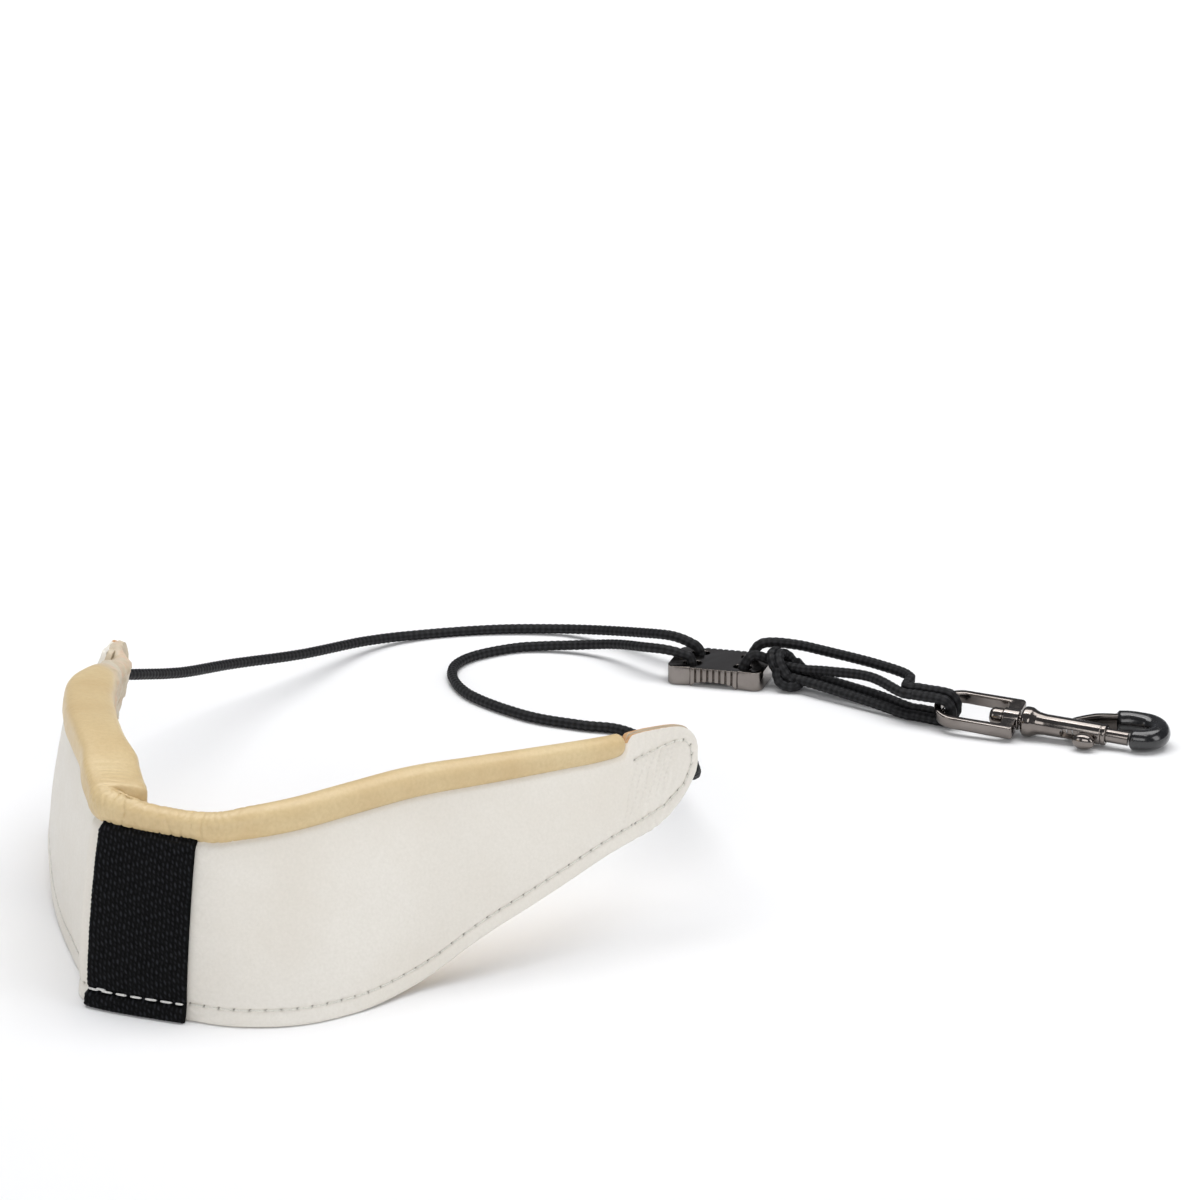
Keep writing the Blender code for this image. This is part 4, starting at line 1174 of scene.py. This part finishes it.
def add_left_cord(mat):
    """Left cord: off the tip, sloping down to the table and on to the plate."""
    halfway = (16.0, 231.0, 9.0)
    knots = [(-22.6, 137.6, 33.8), (-19.0, 146.0, 31.0), (-10.5, 171.0, 23.3), (-0.5, 200.0, 16.2),
             halfway, (33.0, 261.0, 3.5), (49.8, 274.0, CORD_RADIUS), (72.0, 279.0, CORD_RADIUS),
             (93.8, 277.0, 2.2), (109.0, 266.0, 5.0)]
    path, into = long_cord(knots, ((-19.0, 8.0, 9.0), (-13.5, 6.4, 9.8)), 1)
    middle = drawn(halfway)
    split, entry = nearest(path, middle), nearest(path, into[1])
    first = add_cord("left_cord_to_pad", path, mat, "left_cord_run", last=split + 1)
    tip = Vector(path[0])
    bend(first, "pad_right", "pad_left", middle, tip + (middle - tip) * 0.12)
    second = add_cord("left_cord_to_adjuster", path, mat, "left_cord_run", first=split, last=entry + 1)
    bend(second, "pad_right", "adjuster", middle, drawn((115.0, 231.0, 9.0)))
    add_cord("left_cord_in_adjuster", path, mat, "left_cord_weave", first=entry, body="adjuster")


def add_strand(name, path, split, mat):
    """The part of a strand that runs from the knot to the bail's loops."""
    strand = add_cord(name + "_cord", path, mat, name, first=split)
    bend(strand, "drop", "tether", *at(DROP, (13.0, 0.0, 6.0), (50.0, 0.0, 6.0)))


def add_front_strand(side, sign, offset, knots, mat):
    """A strand that comes up out of the plate's hole on the hook side."""
    name = f"{side}_strand_out"
    hole = at(PLATE, *((x, sign * HOLE_Y, z) for x, z in ((HOLE_X - 0.35, 3.6), (HOLE_X + 0.2, 5.4))))
    loop = at(LOOPS, *((x, offset, LOOP_RISE) for x in (10.5, 6.6)))
    path = smooth_path(hole + at(DROP, *knots) + loop, CORD_STEP)
    split = nearest(path, DROP @ Vector((12.0, *knots[3][1:])))
    root = add_cord(name + "_root", path, mat, last=split + 1)
    bend(root, "adjuster", "drop", *at(DROP, (-3.0, 0.0, 6.0), (7.0, 0.0, 6.0)))
    add_strand(name, path, split, mat)


def add_back_strand(side, offset, knots, mat):
    """A strand that starts in the knot, under the front one."""
    loop = at(LOOPS, *((x, offset, -LOOP_RISE) for x in (10.5, 6.6)))
    add_strand(f"{side}_strand_back", smooth_path(at(DROP, *knots) + loop, CORD_STEP), 0, mat)


def add_bail_loop(side, offset, mat):
    """The end of a pair of strands, round the bail's cord end."""
    points = [(6.6, LOOP_RISE), (3.0, LOOP_RISE + 0.05), (0.2, LOOP_RISE + 0.15), (-3.4, 3.2), (-4.8, 0.0)]
    points += [(x, -z) for x, z in reversed(points[:-1])]
    path = smooth_path(at(LOOPS, *((x, offset, z) for x, z in points)), CORD_STEP)
    loop = add_cord(f"{side}_bail_loop_cord", path, mat, f"{side}_bail_loop")
    bend(loop, "tether", "bail", *at(LOOPS, (6.0, 0.0, 0.0), (0.5, 0.0, 0.0)))


def add_strands(mat):
    """Four strands from the adjuster to the loops, and the loops round the bail."""
    add_front_strand("left", 1, -LOOP_SPREAD, (
        (-5.9, 3.1, 9.0), (-3.0, 5.4, 10.0), (4.5, 8.0, 10.1), (14.0, 8.3, 10.1), (33.0, 6.9, 10.4),
        (46.0, 4.3, 10.2)), mat)
    add_front_strand("right", -1, LOOP_SPREAD, (
        (-1.9, -5.4, 9.0), (0.8, -1.6, 7.4), (3.4, -0.1, 6.0), (12.0, 0.0, 6.2), (22.0, 0.0, 7.6),
        (36.0, -0.4, 9.0)), mat)
    add_back_strand("left", -LOOP_SPREAD, (
        (5.0, 2.4, 3.9), (12.6, 2.4, 3.9), (22.0, 2.2, 3.8), (38.0, 1.9, 3.1)), mat)
    add_back_strand("right", LOOP_SPREAD, (
        (5.0, -1.7, 3.6), (12.6, -1.9, 3.6), (22.0, -2.2, 3.4), (38.0, -2.6, 2.5)), mat)
    add_bail_loop("left", -LOOP_SPREAD, mat)
    add_bail_loop("right", LOOP_SPREAD, mat)


def add_knot(mat):
    """Two snug wraps of cord and the tail that crosses over them."""
    wraps = []
    for k in range(97):
        turn = k / 40
        angle = 2 * pi * turn - pi / 2 - 0.35
        radius = 3.6 - 0.9 * max(0.0, 0.12 - turn) / 0.12 - 1.2 * max(0.0, turn - 2.2) / 0.2
        slant = -0.8 * radius * sin(angle)
        wraps.append((3.1 + 2.7 * turn + slant, radius * cos(angle), 5.8 + radius * sin(angle)))
    tail = ((6.2, -4.2, 6.4), (6.6, -4.8, 4.6), (7.6, -5.0, 2.9), (9.4, -4.6, 1.9), (11.5, -3.2, 1.7),
            (12.6, -1.6, 2.4))
    add_cord("strand_knot_wraps", resample(at(DROP, *wraps), CORD_STEP), mat, "strand_knot", body="drop")
    add_cord("strand_knot_tail", smooth_path(at(DROP, *tail), CORD_STEP), mat, body="drop")


# ---------------------------------------------------------------- metal

def add_plate(mat):
    """The CAD plate's own shape with its edges rounded over."""
    mesh = frame["nodes"]["adjuster_plate"].data.copy()
    mesh.materials.clear()
    mesh.materials.append(mat)
    bm = bmesh.new()
    bm.from_mesh(mesh)
    bmesh.ops.remove_doubles(bm, verts=bm.verts, dist=2e-6)
    bmesh.ops.dissolve_limit(bm, angle_limit=radians(1.0), verts=bm.verts, edges=bm.edges)
    corners = [edge for edge in bm.edges
               if len(edge.link_faces) == 2 and edge.calc_face_angle() > PLATE_CORNER]
    bmesh.ops.bevel(bm, geom=corners, offset=PLATE_BEVEL * MM, offset_type="OFFSET", segments=4, profile=0.5,
                    affect="EDGES", clamp_overlap=True)
    bmesh.ops.triangulate(bm, faces=[face for face in bm.faces if len(face.verts) > 4])
    bm.to_mesh(mesh)
    bm.free()
    shade(mesh, 50.0)
    obj = place_in_scene("adjuster_plate_finish", mesh)
    settle(obj, "gunmetal", "adjuster_plate", body="adjuster")


def stirrup_outline(half, back_centre, front):
    """Closed outline with a half circle at the back, straight sides and rounded front corners."""
    straight, level = front - BAIL_CORNER, half - BAIL_CORNER
    outline = arc_points(back_centre, 0.0, half, pi / 2, 3 * pi / 2, 48)
    outline += [(x, -half) for x in np.linspace(back_centre, straight, 12)[1:]]
    outline += arc_points(straight, -level, BAIL_CORNER, -pi / 2, 0.0, 10)[1:]
    outline += [(front, y) for y in np.linspace(-level, level, 16)[1:]]
    outline += arc_points(straight, level, BAIL_CORNER, 0.0, pi / 2, 10)[1:]
    outline += [(x, half) for x in np.linspace(straight, back_centre, 12)[1:-1]]
    return np.array(outline)


def add_bail(mat):
    """Stirrup bail with softened edges, and the round boss its rivet turns in."""
    centre = -BAIL_BACK + BAIL_HALF
    outer = stirrup_outline(BAIL_HALF + BAIL_THICK / 2, centre, BASE_FRONT)
    inner = stirrup_outline(BAIL_HALF - BAIL_THICK / 2, centre, BASE_BACK)
    rings = []
    for far, near in zip(outer, inner):
        middle, reach = (far + near) / 2, (far - near) / 2
        size = np.linalg.norm(reach)
        ring = []
        for quarter, (across, up) in enumerate(((1, 1), (-1, 1), (-1, -1), (1, -1))):
            for a, z in arc_points(across * (size - BAIL_SOFT), up * (BAIL_HIGH / 2 - BAIL_SOFT), BAIL_SOFT,
                                   quarter * pi / 2, (quarter + 1) * pi / 2, 4):
                ring.append((*(middle + reach / size * a), z))
        rings.append(ring)
    rings = placed(BAIL, np.array(rings + rings[:1]))
    count, sides = rings.shape[:2]
    bail = add_mesh("bail_stirrup", rings.reshape(-1, 3), ring_faces(count, sides), [mat])
    back, front = BASE_BACK - BOSS_PROUD, BASE_FRONT + BOSS_PROUD
    boss = rounded_profile(((back, 0.0), (back, BOSS_RADIUS), (front, BOSS_RADIUS), (front, 0.0)), 0.45)
    rings = placed(BAIL, turned_rings(boss, 56))
    combine(bail, add_solid("bail_boss", rings, mat), "UNION")
    settle(bail, "gunmetal", "bail", body="bail")


def add_rivet(mat):
    """Domed swivel rivet with a flat-faced head."""
    profile = [(-9.6, 0.0), (-9.5, 1.0), (-9.25, 1.7), (-8.8, 2.2), (-8.3, 2.45), (-7.9, 2.5)]
    profile += rounded_profile(((-7.9, 2.5), (-5.5, 2.5), (-5.5, 1.5)), 0.3)
    profile += [(2.4, 1.5), (2.4, 0.0)]
    rivet = add_solid("swivel_rivet_head", placed(HOOK, turned_rings(profile, 56)), mat)
    settle(rivet, "gunmetal", "swivel_rivet", body="hook")


def arm_path():
    """Centre line from inside the barrel, out along the blade and round the bend to the nose."""
    blade = [(11.5, 0.9), (14.5, 4.4), (19.0, 7.7), (24.5, 9.9), (ARM_CENTRE_X - 4.0, 10.6)]
    radius = ARM_REACH / 2
    blade += arc_points(ARM_CENTRE_X, radius, radius, pi / 2, -pi / 2, 8)
    return at(HOOK, *((x, y, 0.0) for x, y in blade))


def flattened(rings, path):
    """Make the arm a blade: flat-sided, taller across the hook's plane than along it, set slightly low."""
    up = np.array(HOOK.to_3x3() @ Vector((0.0, 0.0, 1.0)))
    spoke = rings - path[:, None, :]
    tall = (spoke @ up)[:, :, None]
    aside = spoke - tall * up
    radius = np.linalg.norm(spoke, axis=2)[:, :, None]
    width = np.linalg.norm(aside, axis=2)[:, :, None]
    flat = aside / np.maximum(width, 1e-6) * radius * 0.72 * (width / radius) ** 0.4
    blade = path[:, None, :] + flat + up * (1.65 * tall - 0.8)
    fade = smoothstep(np.linspace(3.0, -0.6, len(path)))[:, None, None]
    return rings + (blade - rings) * fade


def add_hook_body(mat, blade_painted_shade_mat):
    """Bell collar and barrel, with the arm growing out of its far side and the stud's slot cut in."""
    bore = BOLT_RADIUS + 0.12
    bell = ((0.0, 0.0), (0.0, 3.5), (0.7, 4.2), (2.5, 4.2), (3.3, 3.75), (4.4, 3.22), (6.4, 2.95),
            (22.15, 2.95), (22.3, 2.8), (22.5, 2.8), (22.65, 2.97), (23.55, 2.97), (23.9, 2.65),
            (23.9, bore), (21.0, bore), (21.0, 0.0))
    rings = placed(HOOK, turned_rings(rounded_profile(bell, 0.28, 4), 72))
    body = add_solid("hook_collar_and_arm", rings, mat)
    path = smooth_path(arm_path(), 0.35)
    thick = np.interp(np.linspace(0, 1, len(path)), (0.0, 0.25, 0.5, 1.0), (1.3, 1.7, 1.6, 1.45))
    path, thick = path[:-3], thick[:-3, None]
    # the arm gets the darker copy of the gunmetal: painted shade for the dark it reflects
    combine(body, add_solid("hook_arm", flattened(tube_rings(path, thick, 28), path), blade_painted_shade_mat), "UNION")
    slot = arc_points(STUD_X, 0.0, SLOT_RADIUS, -pi / 2, pi / 2, 12)
    slot += arc_points(STUD_X - TRIGGER_TRAVEL, 0.0, SLOT_RADIUS, pi / 2, 3 * pi / 2, 12)
    rings = placed(STUD, np.array([[(x, y, z) for x, z in slot] for y in (-1.6, -4.2)]))
    combine(body, add_solid("slot_cutter", rings, mat), "DIFFERENCE")
    settle(body, "gunmetal", "hook_body", body="hook")


def add_cover(mat):
    """Dipped vinyl sleeve: thick round the bend, wavy at its open lip, flat across the nose."""
    start, nose_end = at(HOOK, (ARM_CENTRE_X - 7.6, ARM_REACH - 1.0, -0.2), (NOSE_X + 0.15, 0.0, 0.0))
    path = smooth_path([start, *arm_path()[4:], nose_end], 0.3)
    count, sides = len(path), 48
    angle = circle(sides)[None, :]
    along = np.linspace(0.0, 1.0, count)[:, None]
    thick = COVER_RADIUS + 0.16 * np.sin(pi * along) ** 2
    thick = thick * (1 + 0.02 * np.sin(2 * angle + along * 7) + 0.012 * np.sin(3 * angle - along * 11))
    lip = smoothstep(along / 0.03)
    nose = 1 - 0.22 * smoothstep((along - 0.975) / 0.025)
    outer = tube_rings(path, thick * (0.78 + 0.22 * lip) * nose, sides)
    inner = tube_rings(path[:count // 3], 1.62, sides)[::-1]
    lean = np.clip(1 - np.arange(count)[:, None] / 12.0, 0, 1) * 0.7 * np.cos(angle - 2.0)
    outer += np.array(FORWARD) * lean[:, :, None]
    inner[-1] = outer[0] * 0.35 + inner[-1] * 0.65
    cover = add_solid("hook_vinyl_cover", np.concatenate((inner, outer), axis=0), mat, 60.0)
    settle(cover, "black_vinyl", "hook_cover", body="hook")


def add_bolt(mat):
    """The spring bolt that shuts the hook."""
    profile = rounded_profile(((BOLT_BACK, 0.0), (BOLT_BACK, BOLT_RADIUS), (BOLT_FRONT, BOLT_RADIUS),
                               (BOLT_FRONT, 0.0)), 0.3)
    bolt = add_solid("trigger_bolt_pin", placed(HOOK, turned_rings(profile, 48)), mat)
    settle(bolt, "gunmetal", "trigger_bolt", body="trigger")


def add_thumb_stud(mat):
    """Oval thumb stud on a round neck through the slot."""
    outline = [(1.4, 0.0), (1.4, 0.95), (3.3, 0.95), (3.42, 1.6)]
    outline += [(5.2 - 1.75 * cos(a), 2.0 + 1.15 * sin(a)) for a in np.linspace(0.15, pi / 2, 8)]
    outline += [(5.2 + 1.9 * sin(a), 3.15 * cos(a)) for a in np.linspace(0.0, pi / 2, 14)[1:]]
    rings = turned_rings(outline, 48)
    rings[:, :, 2] *= np.where(rings[:, :, 0] > 3.35, 0.72, 1.0)
    side = STUD @ Matrix.Translation((STUD_X, 0.0, 0.0)) @ Matrix.Rotation(-pi / 2, 4, "Z")
    stud = add_solid("thumb_stud_knob", placed(side, rings), mat)
    settle(stud, "gunmetal", "thumb_stud", body="trigger")


def add_spring(mat):
    """Coil spring behind the bolt, built at one length; on the real hook it gets shorter as the bolt is
    drawn back.
    """
    steps = 24 * SPRING_TURNS
    coil = []
    for k in range(steps + 1):
        along, angle = SPRING_BACK + SPRING_LONG * k / steps, 2 * pi * k / 24
        coil.append((along, COIL_RADIUS * cos(angle), COIL_RADIUS * sin(angle)))
    rings = tube_rings(np.array(at(HOOK, *coil)), WIRE_RADIUS, 10)
    spring = add_solid("trigger_spring_coil", rings, mat)
    settle(spring, "spring_steel", "trigger_spring", body="hook")
    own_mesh(spring)


# ---------------------------------------------------------------- assembly

def build_pad():
    edge, backing = raw_edge(), pale_backing()
    runs = [run_points(*run) for run in seam_stitches()]
    rows = [run_points(*run) for run in tip_rows()]
    skin = add_outer_leather([white_leather(), edge], np.concatenate(runs), np.concatenate(rows))
    settle(skin, "white_leather", "outer_leather_right", "outer_leather_left")
    cushion = add_lining(tan_lambskin())
    settle(cushion, "tan_lambskin", "lining_right", "lining_left", "foam_pad_right", "foam_pad_left")
    pieces = [skin, cushion]
    for name, (side, end) in zip(("right", "left"), HALVES):
        sheet = add_tip_backing(f"tip_backing_{name}_skin", side, end, [backing, edge])
        pieces.append(settle(sheet, "tan_lambskin", f"tip_backing_{name}"))
    label = add_label(black_webbing())
    pieces.append(settle(label, "black_webbing", "back_label"))
    pieces.append(add_seam_stitches(runs, thread("seam_thread", (0.82, 0.795, 0.73))))
    pieces.append(add_label_stitches(thread("white_thread", (0.80, 0.79, 0.76))))
    for piece in pieces:
        follow_fold(piece)


def build_cords():
    mat = black_cord()
    add_right_cord(mat)
    add_left_cord(mat)
    add_strands(mat)
    add_knot(mat)


def build_metal():
    metal = gunmetal()
    add_plate(metal)
    add_bail(metal)
    add_rivet(metal)
    # the arm's darker copy of the gunmetal is painted shade
    add_hook_body(metal, gunmetal("gunmetal_arm_painted_shade", 0.38))
    add_cover(black_vinyl())
    add_bolt(metal)
    add_thumb_stud(metal)
    add_spring(spring_steel())


# ---------------------------------------------------------------- studio

def add_floor():
    mesh = bpy.data.meshes.new("floor")
    signs = ((-1, -1), (1, -1), (1, 1), (-1, 1))
    corners = [(x * FLOOR_REACH, y * FLOOR_REACH, FLOOR_LEVEL) for x, y in signs]
    mesh.from_pydata(corners, [], [(0, 1, 2, 3)])
    mesh.materials.append(paper_floor())
    place_in_scene("floor", mesh)


def add_lights():
    for name, place, target, size, power in LIGHTS:
        light = bpy.data.lights.new(name, "AREA")
        light.shape = "RECTANGLE"
        light.size, light.size_y = size
        light.energy = power
        obj = place_in_scene(name, light)
        obj.location = place
        obj.rotation_euler = (Vector(target) - Vector(place)).to_track_quat("-Z", "Y").to_euler()
    world = bpy.data.worlds.new("studio")
    world.use_nodes = True
    sky = world.node_tree.nodes["Background"]
    sky.inputs["Color"].default_value = SKY_COLOUR
    sky.inputs["Strength"].default_value = SKY_STRENGTH
    bpy.context.scene.world = world


def add_camera():
    camera = bpy.data.cameras.new("camera")
    camera.lens = CAMERA_LENS
    camera.sensor_width = 36.0
    camera.clip_start = 0.05
    obj = place_in_scene("camera", camera)
    obj.location = CAMERA_PLACE
    obj.rotation_euler = (radians(CAMERA_TILT), 0.0, 0.0)
    bpy.context.scene.camera = obj


build_pad()
build_cords()
build_metal()
add_floor()
add_lights()
add_camera()
bpy.context.scene.view_settings.view_transform = "Standard"
